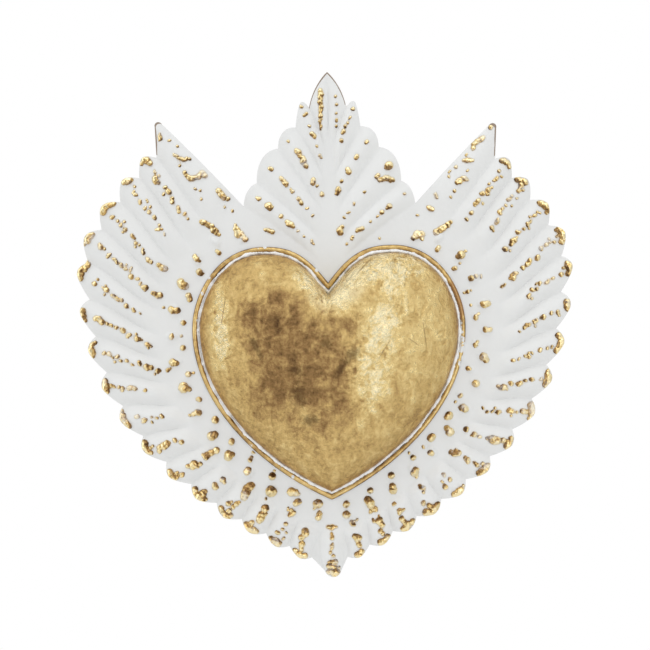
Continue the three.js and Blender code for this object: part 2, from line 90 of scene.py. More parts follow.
# Wings
RIBS_PER_WING = 16
WING_TIP = (98.8, 119.6)
WING_TIP_RADIUS = 2.2
WING_TIP_WRAP = 150
WING_TIP_SHARE = 0.5
WING_EDGE_BOW = 0.5
FIRST_NOTCH = (100.1, 100.7)
FIRST_NOTCH_HANDLE = (11.8, 14.1)
WING_HALF_SPAN = 140.2
WING_SPAN_HEIGHT = 38
SPAN_UPPER_HANDLE = 18.3
SPAN_LOWER_HANDLE = 99.1
TAIL_DEPTH = 140.6
TAIL_HANDLE = (76.5, 38.7)
WING_OFF_CENTRE = -1.8
WING_LEAN = 2
LEANING_RIBS = 6
RIB_SWELL = 0.5
RIB_LEAN = 0.1
SCALLOP_AT_TOP = 0.42
SCALLOP_AT_TAIL = 0.24
SCALLOP_ROUNDNESS = 1.7
SCALLOP_TURN = 12
EDGE_ANGLE_TOP = 48
EDGE_ANGLE_TAIL = -96
EDGE_ANGLE_EASE = 1.3
ROOT_ANGLE_TOP = 52
ROOT_ANGLE_TAIL = -73
WING_ROOT_HALF_GAP = 68
RIB_RELIEF = 3.4
WING_TIP_RELIEF = 2.6
RIB_RISE_SHARE = 0.4
RIB_FALL_SHARE = 0.25
RIB_EDGE_DROP = 0.3
TAIL_ROOT_HALF_GAP = 6
TAIL_HALF_WIDTH = 10.5
SPIKE_RADIUS = 5
SPIKE_REACH = 6.6
SPIKE_WRAP = 11

# Flame leaf above the cleft, heights measured from the cleft
LEAF_OFF_CENTRE = 1.5
LEAF_APEX = 124.7
LEAF_NOTCHES = ((11, 103.7), (19.2, 92.2), (29.8, 79.8), (42.7, 59.5), (50.8, 46))
VEIN_ROOTS = ((2.2, 78), (2.6, 60), (3.3, 39), (4.4, 24), (6, 12.5))
VEIN_TOP = 84
LOBE_REACH = (8.7, 3.9, 5.1, 2.5)
LOBE_ANGLE = (83, 52, 52, 55)
LOBE_ROUNDNESS = (1.65, 2.1, 2.15, 2.15)
SPEAR_BULGE = 1.8
SPEAR_BULGE_ANGLE = 30
LEAF_CURL = 6
LEAF_RELIEF = 2.6
SPEAR_RELIEF_SHARE = 0.65

# Flat band round the heart, and its punched bosses
BAND_WIDTH = 17
BOSSES_PER_SIDE = 14
BOSS_FULLNESS = 0.75
INNER_RING = dict(offset=6.2, length=4.4, width=3.6, height=1.1, top_gap=51, tail_gap=9)
OUTER_RING = dict(offset=12.0, length=7.4, width=4.6, height=1.5, top_gap=66, tail_gap=8)

# Hanger on the back
STRAP_WIDTH = 9.0
STRAP_THICKNESS = 0.8
STRAP_LEG = 6.0
STRAP_BEND = 0.4
RING_WIRE = 2.0
PIVOT_CLEARANCE = 0.3
RING_WIDTH = 16.0
RING_HEIGHT = 19.0
RING_CORNER = 2.2

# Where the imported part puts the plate: its front face, and the line of the heart's widest place
PLATE_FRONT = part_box("heart_bead")[1][1] / MM
WIDEST_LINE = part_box("heart_bead")[0][2] / MM + HEART_POINT_DEPTH

# Fineness of the meshes
ACROSS_RIB = 18
ALONG_RIB = 42
ACROSS_LOBE = 14
ALONG_LOBE = 34
BAND_PITCH = 0.95
PAN_PITCH = 4.0
OUTLINE_STEPS = 300
PAN_STEPS = 80
CREST_STEPS = 80
SWEEP_PITCH = 0.7
WIRE_SIDES = 20
CLEAR_OF_EDGE = 0.6
SAME_POINT = 1e-4
CLEAR_OF_AXIS = 1e-3
NET_PRECISION = 1e-5
RIB_SEAM = 0.02

# Gilding left along the ribs: how far each row runs in from its scalloped tip
LEFT_ROWS = (47, 42, 51, 58, 45, 48, 48, 28, 24, 27, 27, 19, 21, 19, 28, 22)
RIGHT_ROWS = (44, 37, 39, 49, 35, 34, 35, 31, 30, 31, 25, 18, 20, 19, 28, 28)
GILDING_SEED = 21
GROOVE_SEED = 8


# Plane curves. A point is x, z in the plate's plane, and a list of points is an array of rows.

def heading(degrees, side=1.0):
    angle = np.radians(degrees)
    return np.stack([side * np.cos(angle), np.sin(angle)], axis=-1)


def smooth(value):
    value = np.clip(value, 0.0, 1.0)
    return value * value * (3 - 2 * value)


def bezier(a, b, c, d, steps=OUTLINE_STEPS):
    t = np.linspace(0, 1, steps + 1)[:, None]
    a, b, c, d = (np.array(p, float) for p in (a, b, c, d))
    return a * (1 - t) ** 3 + 3 * b * t * (1 - t) ** 2 + 3 * c * t ** 2 * (1 - t) + d * t ** 3


def bowed(a, heading_a, b, heading_b, t):
    """Points at fractions t of the curve that leaves a along one heading and reaches b along another."""
    reach = np.linalg.norm(b - a)
    t = np.asarray(t, float)[:, None]
    out = a * (2 * t ** 3 - 3 * t ** 2 + 1) + b * (3 * t ** 2 - 2 * t ** 3)
    return out + heading_a * reach * (t ** 3 - 2 * t ** 2 + t) + heading_b * reach * (t ** 3 - t ** 2)


class Line:
    """A line of points that can be read at any share of its length."""

    def __init__(self, points):
        self.points = np.asarray(points, float)
        steps = np.linalg.norm(np.diff(self.points, axis=0), axis=1)
        self.lengths = np.concatenate([[0], np.cumsum(steps)])
        self.total = self.lengths[-1]

    def at(self, share):
        wanted = np.asarray(share, float) * self.total
        return np.stack([np.interp(wanted, self.lengths, self.points[:, i]) for i in (0, 1)], axis=-1)

    def heading_at(self, share):
        step = 0.002
        along = self.at(np.minimum(share + step, 1)) - self.at(np.maximum(share - step, 0))
        return along / np.linalg.norm(along, axis=-1, keepdims=True)

    def where_from_start(self, x):
        i = int(np.argmax(self.points[:, 0] >= x))
        near = np.interp(x, self.points[i - 1:i + 1, 0], self.lengths[i - 1:i + 1])
        return near / self.total

    def where_from_end(self, x):
        i = len(self.points) - 1 - int(np.argmax(self.points[::-1, 0] >= x))
        near = np.interp(x, self.points[[i + 1, i], 0], self.lengths[[i + 1, i]])
        return near / self.total


def heart_half():
    lobe = (HEART_LOBE_OFFSET, HEART_LOBE_HEIGHT)
    side = (HEART_HALF_WIDTH, 0)
    parts = [
        bezier((0, HEART_CLEFT_HEIGHT), (CLEFT_HANDLE[0], HEART_CLEFT_HEIGHT + CLEFT_HANDLE[1]),
               (lobe[0] - LOBE_INNER_HANDLE, lobe[1]), lobe),
        bezier(lobe, (lobe[0] + LOBE_OUTER_HANDLE, lobe[1]), (side[0], SIDE_UPPER_HANDLE), side),
        bezier(side, (side[0], -SIDE_LOWER_HANDLE),
               (POINT_HANDLE[0], POINT_HANDLE[1] - HEART_POINT_DEPTH), (0, -HEART_POINT_DEPTH)),
    ]
    points = np.concatenate([parts[0], parts[1][1:], parts[2][1:]])
    return Line(points).at(np.linspace(0, 1, 3 * OUTLINE_STEPS))


HEART_HALF = heart_half()


def heart_offset(distance):
    """The half outline moved outwards, cut off or drawn on to the axis at both ends."""
    along = np.gradient(HEART_HALF, axis=0)
    along /= np.linalg.norm(along, axis=1, keepdims=True)
    points = HEART_HALF + distance * np.stack([-along[:, 1], along[:, 0]], axis=1)
    kept = points[:, 0] > CLEAR_OF_AXIS
    points, along = points[kept], along[kept]
    ends = [np.array([0, points[i, 1] - along[i, 1] * points[i, 0] / along[i, 0]]) for i in (0, -1)]
    return Line(np.concatenate([ends[:1], points, ends[1:]]))


def heart_loop(distance, steps_per_half):
    """A closed loop round the heart, from the cleft down the right side and back up the left."""
    right = heart_offset(distance).at(np.linspace(0, 1, steps_per_half + 1))
    right[[0, -1], 0] = 0
    return np.concatenate([right, right[-2:0:-1] * (-1, 1)])


# Layout of the embossed plate

def notch_shares():
    x = (np.arange(RIBS_PER_WING) + 0.5) / RIBS_PER_WING
    pitch = 1 + RIB_SWELL * np.sin(np.pi * x) + RIB_LEAN * np.sin(2 * np.pi * x)
    shares = np.concatenate([[0], np.cumsum(pitch)])
    return shares / shares[-1]


NOTCH_LINE = Line(np.concatenate([
    bezier(FIRST_NOTCH, (FIRST_NOTCH[0] + FIRST_NOTCH_HANDLE[0], FIRST_NOTCH[1] - FIRST_NOTCH_HANDLE[1]),
           (WING_HALF_SPAN, WING_SPAN_HEIGHT + SPAN_UPPER_HANDLE), (WING_HALF_SPAN, WING_SPAN_HEIGHT)),
    bezier((WING_HALF_SPAN, WING_SPAN_HEIGHT), (WING_HALF_SPAN, WING_SPAN_HEIGHT - SPAN_LOWER_HANDLE),
           (TAIL_HANDLE[0], TAIL_HANDLE[1] - TAIL_DEPTH), (0, -TAIL_DEPTH))[1:]]))
LAST_NOTCH = NOTCH_LINE.where_from_end(TAIL_HALF_WIDTH)
NOTCH_SHARES = notch_shares()
ROOT_LINE = heart_offset(BAND_WIDTH)
FIRST_ROOT = ROOT_LINE.where_from_start(WING_ROOT_HALF_GAP)
LAST_ROOT = ROOT_LINE.where_from_end(TAIL_ROOT_HALF_GAP)


def edge_angle(x):
    return EDGE_ANGLE_TOP + (EDGE_ANGLE_TAIL - EDGE_ANGLE_TOP) * x ** EDGE_ANGLE_EASE


def wing_crease(number, side):
    x = number / RIBS_PER_WING
    root = ROOT_LINE.at(FIRST_ROOT + (LAST_ROOT - FIRST_ROOT) * x) * (side, 1)
    lean = side * WING_LEAN * (1 - smooth(number / LEANING_RIBS))
    off_centre = WING_OFF_CENTRE * smooth((number + 1) / LEANING_RIBS)
    notch = NOTCH_LINE.at(NOTCH_SHARES[number] * LAST_NOTCH) * (side, 1) + (off_centre, -lean)
    leaves = heading(ROOT_ANGLE_TOP + (ROOT_ANGLE_TAIL - ROOT_ANGLE_TOP) * x, side)
    return lambda t: bowed(root, leaves, notch, heading(edge_angle(x), side), t)


def leaf_point(place, side):
    return np.array([side * place[0] + LEAF_OFF_CENTRE, place[1] + HEART_CLEFT_HEIGHT])


def leaf_crease(number, side):
    start, end = leaf_point(VEIN_ROOTS[number], side), leaf_point(LEAF_NOTCHES[number], side)
    chord = end - start
    lean = math.degrees(math.atan2(chord[1], side * chord[0]))
    leaves, arrives = heading(lean + LEAF_CURL, side), heading(lean - LEAF_CURL, side)
    return lambda t: bowed(start, leaves, end, arrives, t)


def straight(a, b):
    return lambda t: a + (b - a) * np.asarray(t, float)[:, None]


def scallop(direction, reach, power):
    return lambda s: direction * (reach * (1 - np.abs(2 * s - 1) ** power))[:, None]


class Rib:
    """One embossed rib between two creases: its net of points, and its crest from the tip inwards."""

    def __init__(self, name, crease_a, crease_b, edge, relief, across, along):
        self.name, self.crease_a, self.crease_b, self.edge = name, crease_a, crease_b, edge
        self.relief, self.across, self.along = relief, across, along

    def points(self, s, t):
        """Points of the net at every pair of the shares s, across, and t, along. Rows follow t."""
        a, b = self.crease_a(t)[:, None], self.crease_b(t)[:, None]
        s = np.asarray(s, float)
        return a * (1 - s)[:, None] + b * s[:, None] + self.edge(s)[None] * (t ** 3)[:, None, None]

    def net(self):
        s, t = np.linspace(0, 1, self.across + 1), np.linspace(0, 1, self.along + 1)
        grid_t, grid_s = np.meshgrid(t, s, indexing="ij")
        return self.points(s, t), grid_s, grid_t

    def crest(self, s=0.5):
        return Line(self.points([s], np.linspace(1, 0, CREST_STEPS))[:, 0])


def wing_rib(number, side):
    x = (number - 0.5) / RIBS_PER_WING
    a, b = wing_crease(number - 1, side), wing_crease(number, side)
    width = np.linalg.norm(a([1.0]) - b([1.0]))
    reach = width * (SCALLOP_AT_TOP + (SCALLOP_AT_TAIL - SCALLOP_AT_TOP) * x)
    edge = scallop(heading(edge_angle(x) + SCALLOP_TURN, side), reach, SCALLOP_ROUNDNESS)
    return Rib(f"wing {number} {side}", a, b, edge, RIB_RELIEF, ACROSS_RIB, ALONG_RIB)


def wing_tip_rib(side):
    """The top rib: a slightly bowed free edge from the leaf, a round tip, and a straight end to a notch."""
    centre = np.array([side * WING_TIP[0], WING_TIP[1] - side * WING_LEAN])
    foot = leaf_point(LEAF_NOTCHES[-1], side)
    crease = wing_crease(0, side)
    notch = crease([1.0])[0]
    slope = math.degrees(math.atan2(centre[1] - foot[1], side * (centre[0] - foot[0])))

    def round_tip(turn):
        return centre + WING_TIP_RADIUS * heading(slope + 90 - turn, side)

    def edge(s):
        tip, end = round_tip(0.0), round_tip(WING_TIP_WRAP)
        nose = round_tip(WING_TIP_WRAP * np.minimum(s / WING_TIP_SHARE, 1))
        s = s[:, None]
        straight_end = end + (notch - end) * (s - WING_TIP_SHARE) / (1 - WING_TIP_SHARE)
        return np.where(s < WING_TIP_SHARE, nose, straight_end) - (tip + (notch - tip) * s)

    def free_edge(t):
        t = np.asarray(t, float)[:, None]
        bow = heading(slope + 90, side) * WING_EDGE_BOW * np.sin(np.pi * t)
        return foot + (round_tip(0.0) - foot) * t + bow

    return Rib(f"wing tip {side}", free_edge, crease, edge, WING_TIP_RELIEF, ACROSS_RIB, ALONG_RIB)


def leaf_lobe(number, side):
    edge = scallop(heading(LOBE_ANGLE[number], side), LOBE_REACH[number], LOBE_ROUNDNESS[number])
    return Rib(f"leaf {number} {side}", leaf_crease(number, side), leaf_crease(number + 1, side), edge,
               LEAF_RELIEF, ACROSS_LOBE, ALONG_LOBE)


def spear_half(side):
    middle = straight(leaf_point((0, VEIN_TOP), side), leaf_point((0, LEAF_APEX), side))
    edge = scallop(heading(SPEAR_BULGE_ANGLE, side), SPEAR_BULGE, 2)
    return Rib(f"spear {side}", middle, leaf_crease(0, side), edge, LEAF_RELIEF * SPEAR_RELIEF_SHARE,
               ACROSS_LOBE, ALONG_LOBE)


def tail_rib():
    left, right = wing_crease(RIBS_PER_WING, -1), wing_crease(RIBS_PER_WING, 1)
    start, end = left([1.0])[0], right([1.0])[0]
    centre = np.array([0, end[1] - SPIKE_REACH])

    def edge(s):
        turn = 180 + SPIKE_WRAP + (180 - 2 * SPIKE_WRAP) * s
        pull = np.where((s > 0) & (s < 1), 1.0, 0.0)[:, None]
        return pull * (centre + SPIKE_RADIUS * heading(turn) - (start + (end - start) * s[:, None]))

    return Rib("tail", left, right, edge, RIB_RELIEF, ACROSS_RIB, ALONG_RIB)


def all_ribs():
    ribs = [tail_rib()]
    for side in (1, -1):
        ribs += [wing_tip_rib(side), spear_half(side)]
        ribs += [wing_rib(number, side) for number in range(1, RIBS_PER_WING + 1)]
        ribs += [leaf_lobe(number, side) for number in range(len(LOBE_REACH))]
    return {rib.name: rib for rib in ribs}


RIBS = all_ribs()


def tab_frames():
    """Place, direction along the foot and inward direction of each clinch tab."""
    foot = heart_offset(-(BEAD_WIDTH + GROOVE_WIDTH + TAB_INSET + SHELL_THICKNESS / 2))
    frames = []
    for side in (1, -1):
        for place in TAB_PLACES:
            at, along = foot.at(place), foot.heading_at(place)
            frames.append((at * (side, 1), along * (side, 1), np.array([side * along[1], -along[0]])))
    return frames


# Flat ground inside the ribs, as a fine net of triangles that meets every rib's root

def ground_outline():
    def root_row(rib):
        return rib.points(np.linspace(0, 1, rib.across + 1), np.array([0.0]))[0]

    def side_points(side):
        rows = [root_row(RIBS[f"wing {n} {side}"])[::-1] for n in range(RIBS_PER_WING, 0, -1)]
        rows.append(root_row(RIBS[f"wing tip {side}"])[::-1])
        lowest = RIBS[f"leaf {len(LOBE_REACH) - 1} {side}"]
        rows.append(lowest.crease_b(np.linspace(1, 0, lowest.along + 1)))
        rows += [root_row(RIBS[f"leaf {n} {side}"])[::-1] for n in range(len(LOBE_REACH) - 1, -1, -1)]
        rows.append(root_row(RIBS[f"spear {side}"])[::-1])
        return np.concatenate(rows)

    right, left = side_points(1), side_points(-1)
    tail = root_row(RIBS["tail"])
    loop = np.concatenate([tail, right, left[::-1]])
    return loop[np.linalg.norm(loop - np.roll(loop, 1, axis=0), axis=1) > SAME_POINT]


def inside(points, loop):
    a, b = loop, np.roll(loop, -1, axis=0)
    x, z = points[:, :1], points[:, 1:]
    crosses = (a[:, 1] > z) != (b[:, 1] > z)
    with np.errstate(divide="ignore", invalid="ignore"):
        at = a[:, 0] + (z - a[:, 1]) * (b[:, 0] - a[:, 0]) / (b[:, 1] - a[:, 1])
    return (crosses & (x < at)).sum(axis=1) % 2 == 1


def lattice(low, high, pitch):
    rows = np.arange(low[1], high[1], pitch * math.sqrt(3) / 2)
    points = []
    for i, z in enumerate(rows):
        xs = np.arange(low[0] + (i % 2) * pitch / 2, high[0], pitch)
        points.append(np.stack([xs, np.full(len(xs), z)], axis=1))
    return np.concatenate(points)


def slot_corners(at, along, inward):
    half_length, half_width = TAB_WIDTH / 2 + SLOT_CLEARANCE, SHELL_THICKNESS / 2 + SLOT_CLEARANCE
    return np.array([at + along * a * half_length + inward * b * half_width
                     for a, b in ((1, 1), (1, -1), (-1, -1), (-1, 1))])


def point_finder(points):
    """A tree that finds the plane points near a place."""
    tree = KDTree(len(points))
    for i, point in enumerate(points):
        tree.insert((point[0], point[1], 0), i)
    tree.balance()
    return tree


def ground_net():
    """Points and triangles of the ground. The band round the heart is fine, and the pan behind it coarse."""
    outline = ground_outline()
    slots = [slot_corners(*each) for each in tab_frames()]
    pan = heart_loop(-BEAD_WIDTH - GROOVE_WIDTH, PAN_STEPS)
    band = lattice(outline.min(axis=0), outline.max(axis=0), BAND_PITCH)
    band = band[inside(band, outline) & ~inside(band, pan)]
    middle = lattice(pan.min(axis=0), pan.max(axis=0), PAN_PITCH)
    middle = middle[inside(middle, heart_loop(-BEAD_WIDTH - GROOVE_WIDTH - PAN_PITCH / 2, PAN_STEPS))]
    tree = point_finder(outline)
    clear = [tree.find((p[0], p[1], 0))[2] > BAND_PITCH * CLEAR_OF_EDGE for p in band]
    points = [outline, *slots, band[clear], middle]
    starts = np.cumsum([0] + [len(p) for p in points])
    edges = []
    for loop in range(1 + len(slots)):
        start, count = starts[loop], len(points[loop])
        edges += [(int(start + i), int(start + (i + 1) % count)) for i in range(count)]
    places = [Vector(p) for p in np.concatenate(points)]
    verts, _, faces, *_ = delaunay_2d_cdt(places, edges, [], 0, NET_PRECISION)
    verts = np.array([tuple(v) for v in verts])
    faces = np.array([f for f in faces if len(f) == 3])
    middles = verts[faces].mean(axis=1)
    wanted = inside(middles, np.array([tuple(p) for p in places[:len(outline)]]))
    for slot in slots:
        wanted &= ~inside(middles, slot)
    return verts, faces[wanted]


# Gilding that shows through the paint, as spots of gold: the x, z and radius of each

# Marks that stand out: the radius of each, and the places on the plate that it runs through
WING_TIP_STROKES = ((1.1, (-98, 116.8), (-98, 112.7)), (0.9, (-92.5, 112.6)), (0.8, (-87.4, 108.9)),
                    (1.1, (-89.9, 104.2), (-85.2, 101.2), (-80.5, 101.7)), (1.0, (-86.5, 97.7)),
                    (1.35, (-83.2, 92.9), (-80.7, 89.3), (-75.9, 91), (-72.9, 93.3), (-71.2, 90.9)),
                    (0.8, (-77.8, 83.9)), (0.8, (-74.9, 82.7)), (0.9, (-74.1, 77.7)),
                    (1.6, (-63.6, 82.5), (-61.9, 79.5), (-58.4, 77.1)), (0.9, (-60.3, 72.9)),
                    (1.0, (-55.6, 70.5)), (1.5, (98.9, 117.6), (97.1, 116.9)),
                    (1.35, (93.1, 111.1), (89.2, 108.5), (87.2, 106.5), (87.1, 104.1)),
                    (0.9, (82.9, 101.2)), (1.4, (81, 97.7), (83.7, 98.2), (86.6, 97.6)), (1.1, (76.8, 94)),
                    (1.1, (83.9, 91.7)), (0.9, (73, 91.6)), (0.9, (72.6, 88.2)),
                    (1.6, (77.8, 84.7), (79.9, 87.1), (83.2, 86.4)), (1.2, (75.4, 80)), (0.9, (73.5, 76.2)),
                    (0.8, (64.1, 78.8), (65, 76.1)), (1.2, (60.4, 70.8), (62.2, 69)), (0.8, (53.5, 66.2)))
FIRST_BOSS_STROKES = ((1.6, (73.3, 61.7), (67.6, 57.7), (63.7, 55.1)),
                      (2.3, (51.5, 52.6), (54.4, 55.5), (56.4, 52.8)),
                      (1.9, (-74.6, 64.3), (-69.3, 61.9), (-64.7, 57)),
                      (2.0, (-54.5, 61), (-51.7, 56.8), (-48.8, 53.2)))

# Marks along the leaf's lobes: how far from the tip, how long, and their radius
LEAF_STROKES = {
    "leaf 0 -1": ((1.6, 1.5, 1.3), (7.6, 0, 1.5), (15, 0, 1), (20, 2.4, 1.3), (27.5, 0, 1), (32.5, 2, 1.1)),
    "leaf 1 -1": ((6, 0, 1.1), (13, 12, 1.6), (32.5, 2, 1.3), (37.5, 0, 1), (43, 0.8, 1.4)),
    "leaf 2 -1": ((8, 0, 1.2), (15.5, 5.5, 1.5), (25, 0, 1.1), (27, 0, 1), (31, 4.5, 1.2), (39.5, 0, 1.1),
                  (45, 0, 0.8)),
    "leaf 3 -1": ((6.5, 2, 1.1), (14, 3.5, 2.1), (24.5, 0, 1.3), (29, 5, 1.5), (38, 0, 0.8), (43, 0, 1.1),
                  (48, 1.5, 1.1)),
    "leaf 0 1": ((4.7, 0, 1.1), (10, 0, 0.9), (13, 0, 1), (15.5, 0, 1.2), (18.5, 1, 1.3), (23.5, 0.6, 1.2)),
    "leaf 1 1": ((7.5, 1, 1.5), (18, 1, 2), (27.5, 1.5, 1.9), (34.5, 0.6, 1.6), (39.5, 4, 1.3)),
    "leaf 2 1": ((7, 1.2, 2.4), (15, 1, 1.6), (28, 0, 1.1), (37, 0, 0.9), (43, 0, 0.9), (47, 0, 0.8)),
    "leaf 3 1": ((5, 0, 1.1), (16, 2, 1.6), (21, 1, 1.4), (25.5, 0, 0.9), (31, 0, 1), (37, 4, 1.4),
                 (45, 1, 1.4), (50, 0, 0.9)),
}
LEAF_EXTRAS = ((1.7, (8, 60), (7, 55.4)), (1.2, (-36.8, 59.5), (-32.1, 57.1)), (0.8, (30.8, 52.9)),
               (1.3, (30.5, 86.5), (34.8, 88.2), (40.2, 86.9)))
SPEAR_STROKE_REACH = (114, 91)
SPEAR_STROKE_ACROSS = 4.2
SPEAR_STROKE_RADIUS = 1.7
SPEAR_STROKE_TAPER = 0.5
SPEAR_DOTS = (110, 105, 100, 96, 92.5)
SPEAR_DOTS_ACROSS = 5.1
SPEAR_DOT_RADIUS = 0.95

# Gold on the tail: its row, and its round end, measured from its lowest point
TAIL_ROW = dict(start=14, end=50, size=0.95, spread=0.35)
TAIL_STROKES = ((2.2, (-2.6, 3.4), (0, 2.4), (2.8, 3.3)), (1.9, (-2.9, 6.2), (2.9, 6)),
                (1.3, (-2.2, 8.8), (0.4, 9.4), (2.4, 8.6)), (1.2, (0.3, 12.6)))

# How a mark is drawn as spots, in shares of its radius
SMALLEST_SPOT = 0.78
SHORTEST_LINE = 0.3
DROP_REACH = (-0.3, 0.35)
SPOT_PITCH = 0.6
SPOT_SIZE = 0.76
MARK_BELLY = 0.2
SPOT_SIZE_STRAY = 0.17
SPOT_STRAY = 0.22

# Where the marks along a rib begin, inwards from its tip: further in on the upper ribs, and never quite even
UPPER_START = 9
LOWER_START = 7.5
LOWER_FROM_RIB = 8
START_STRAY = (0.8, 1.2)
ROW_STRAY = 0.03
LEAF_STRAY = 0.25

# How marks are scattered along a rib, in shares of their size, with drops beside them
ROW_SIZES = (0.6, 1.2)
ROW_LENGTHS = (0.0, 1.0, 3.2)
ROW_GAPS = (2.1, 3.3)
SHORT_SHARE = 0.25
BESIDE_SHARE = 0.4
BESIDE_SIZES = (0.5, 0.7)
BESIDE_REACH = (1.7, 3.0)
BESIDE_STRAY = 1.5

# The marks along a rib: their radius, their stray from its crest, and the share of long ones
FINE_MARKS = (1.35, 0.75, 0.2)
COARSE_MARKS = (1.7, 1.1, 0.25)
BOLD_MARKS = (2.3, 1.3, 0.45)
COARSE_FROM_RIB = 10
LAST_BOLD_RIB = 14

# The gilding on a scallop's rim: its radius, its place and half width across the rib, and what trails inwards
CAP_RADIUS = 2.1
CAP_MIDDLE = 0.44
CAP_STRAY = 0.04
CAP_HALF = (0.13, 0.24)
CAP_POINTS = 5
CAP_INSET = 0.9
TRAIL_SHARE = 0.6
TRAIL = dict(reach=2.2, length=0.6, radius=0.75)
TRAIL_STRAY = 0.8

# The gilding on a boss, in shares of its width and length. It grows towards the tail.
BOSS_GOLD_WIDTH = 0.46
BOSS_GOLD_GROWTH = 0.24
BOSS_GOLD_SIZES = (0.8, 1.15)
BOSS_GOLD_HALVES = (0.4, 0.55)
BOSS_GOLD_STRAY = 0.5
SHORTEST_HALF = 0.2

# Some bosses have one more drop near an end, its reach a share of the boss's length
BOSS_DROP_SHARE = 0.3
BOSS_DROP_REACH = 0.75
BOSS_DROP_RADIUS = 0.8

# How sharply the spots' edges blend into one another, and how far out they are felt
GILT_SHARPNESS = 2.4
GILT_REACH = 2.5
LEAST_GILT = 1e-5


class Gilding:
    """Gathers spots of gold from one source of chance."""

    def __init__(self, seed):
        self.chance = np.random.default_rng(seed)
        self.spots = []

    def spot(self, place, radius):
        self.spots.append((place[0], place[1], max(radius, SMALLEST_SPOT)))

    def stroke(self, places, radius, taper=0.0):
        """A ragged mark through the places. A single place makes a drop."""
        line = np.asarray(places, float)
        if len(line) == 1 or np.linalg.norm(line[-1] - line[0]) < SHORTEST_LINE:
            turn = self.chance.uniform(0, 360)
            line = line[0] + np.outer(DROP_REACH, heading(turn)) * radius
        line = Line(line)
        count = max(2, round(line.total / (SPOT_PITCH * radius)) + 1)
        for share in np.linspace(0, 1, count):
            size = SPOT_SIZE + MARK_BELLY * math.sin(math.pi * share) + self.chance.normal(0, SPOT_SIZE_STRAY)
            stray = self.chance.normal(0, SPOT_STRAY, 2)
            self.spot(line.at(share) + stray * radius, radius * (size - taper * share))

    def along(self, crest, reach, length, radius, aside=0.0):
        """A mark that runs along a crest from this far from its tip."""
        shares = np.clip(np.array([reach, reach + length / 2, reach + length]) / crest.total, 0, 1)
        ahead = crest.heading_at(shares)
        across = np.stack([-ahead[:, 1], ahead[:, 0]], axis=1)
        sway = aside + self.chance.normal(0, SPOT_STRAY, 3) * length ** 0.5
        self.stroke(crest.at(shares) + across * sway[:, None], radius)

    def row(self, crest, start, end, size, spread, long_share=0.2):
        """Drops and short worms of gold scattered along a crest, with small ones beside them."""
        chance, reach = self.chance, start
        shares = (1 - SHORT_SHARE - long_share, SHORT_SHARE, long_share)
        while reach < end:
            radius = size * chance.uniform(*ROW_SIZES)
            length = radius * chance.choice(ROW_LENGTHS, p=shares)
            self.along(crest, reach, length, radius, chance.normal(0, spread))
            if chance.random() < BESIDE_SHARE:
                aside = chance.choice((-1, 1)) * chance.uniform(*BESIDE_REACH)
                beside = reach + chance.normal(0, BESIDE_STRAY)
                self.along(crest, beside, 0.0, size * chance.uniform(*BESIDE_SIZES), aside)
            reach += length + radius * chance.uniform(*ROW_GAPS)

    def cap(self, rib, size):
        """The gilding that wraps a scallop's rim."""
        middle = CAP_MIDDLE + self.chance.normal(0, CAP_STRAY)
        half = self.chance.uniform(*CAP_HALF)
        rim = rib.points(np.linspace(middle - half, middle + half, CAP_POINTS), np.array([1.0]))[0]
        crest = rib.crest(middle)
        self.stroke(rim + crest.heading_at(0.0) * size * CAP_INSET, size)
        if self.chance.random() < TRAIL_SHARE:
            trail = {key: size * share for key, share in TRAIL.items()}
            self.along(crest, aside=self.chance.normal(0, TRAIL_STRAY), **trail)


def boss_frames():
    """Place, outward direction and ring of every punched boss, and which it is from the top."""
    for ring in (OUTER_RING, INNER_RING):
        line = heart_offset(ring["offset"])
        start, end = line.where_from_start(ring["top_gap"]), line.where_from_end(ring["tail_gap"])
        for side in (1, -1):
            for i in range(BOSSES_PER_SIDE):
                share = start + (end - start) * i / (BOSSES_PER_SIDE - 1)
                along = line.heading_at(share) * (side, 1)
                yield line.at(share) * (side, 1), np.array([-along[1], along[0]]) * side, ring, i


def row_style(number, side):
    """The marks along a rib. They are fine on the upper ones, and boldest low on the left."""
    if number < COARSE_FROM_RIB:
        return FINE_MARKS
    return BOLD_MARKS if side < 0 and number <= LAST_BOLD_RIB else COARSE_MARKS


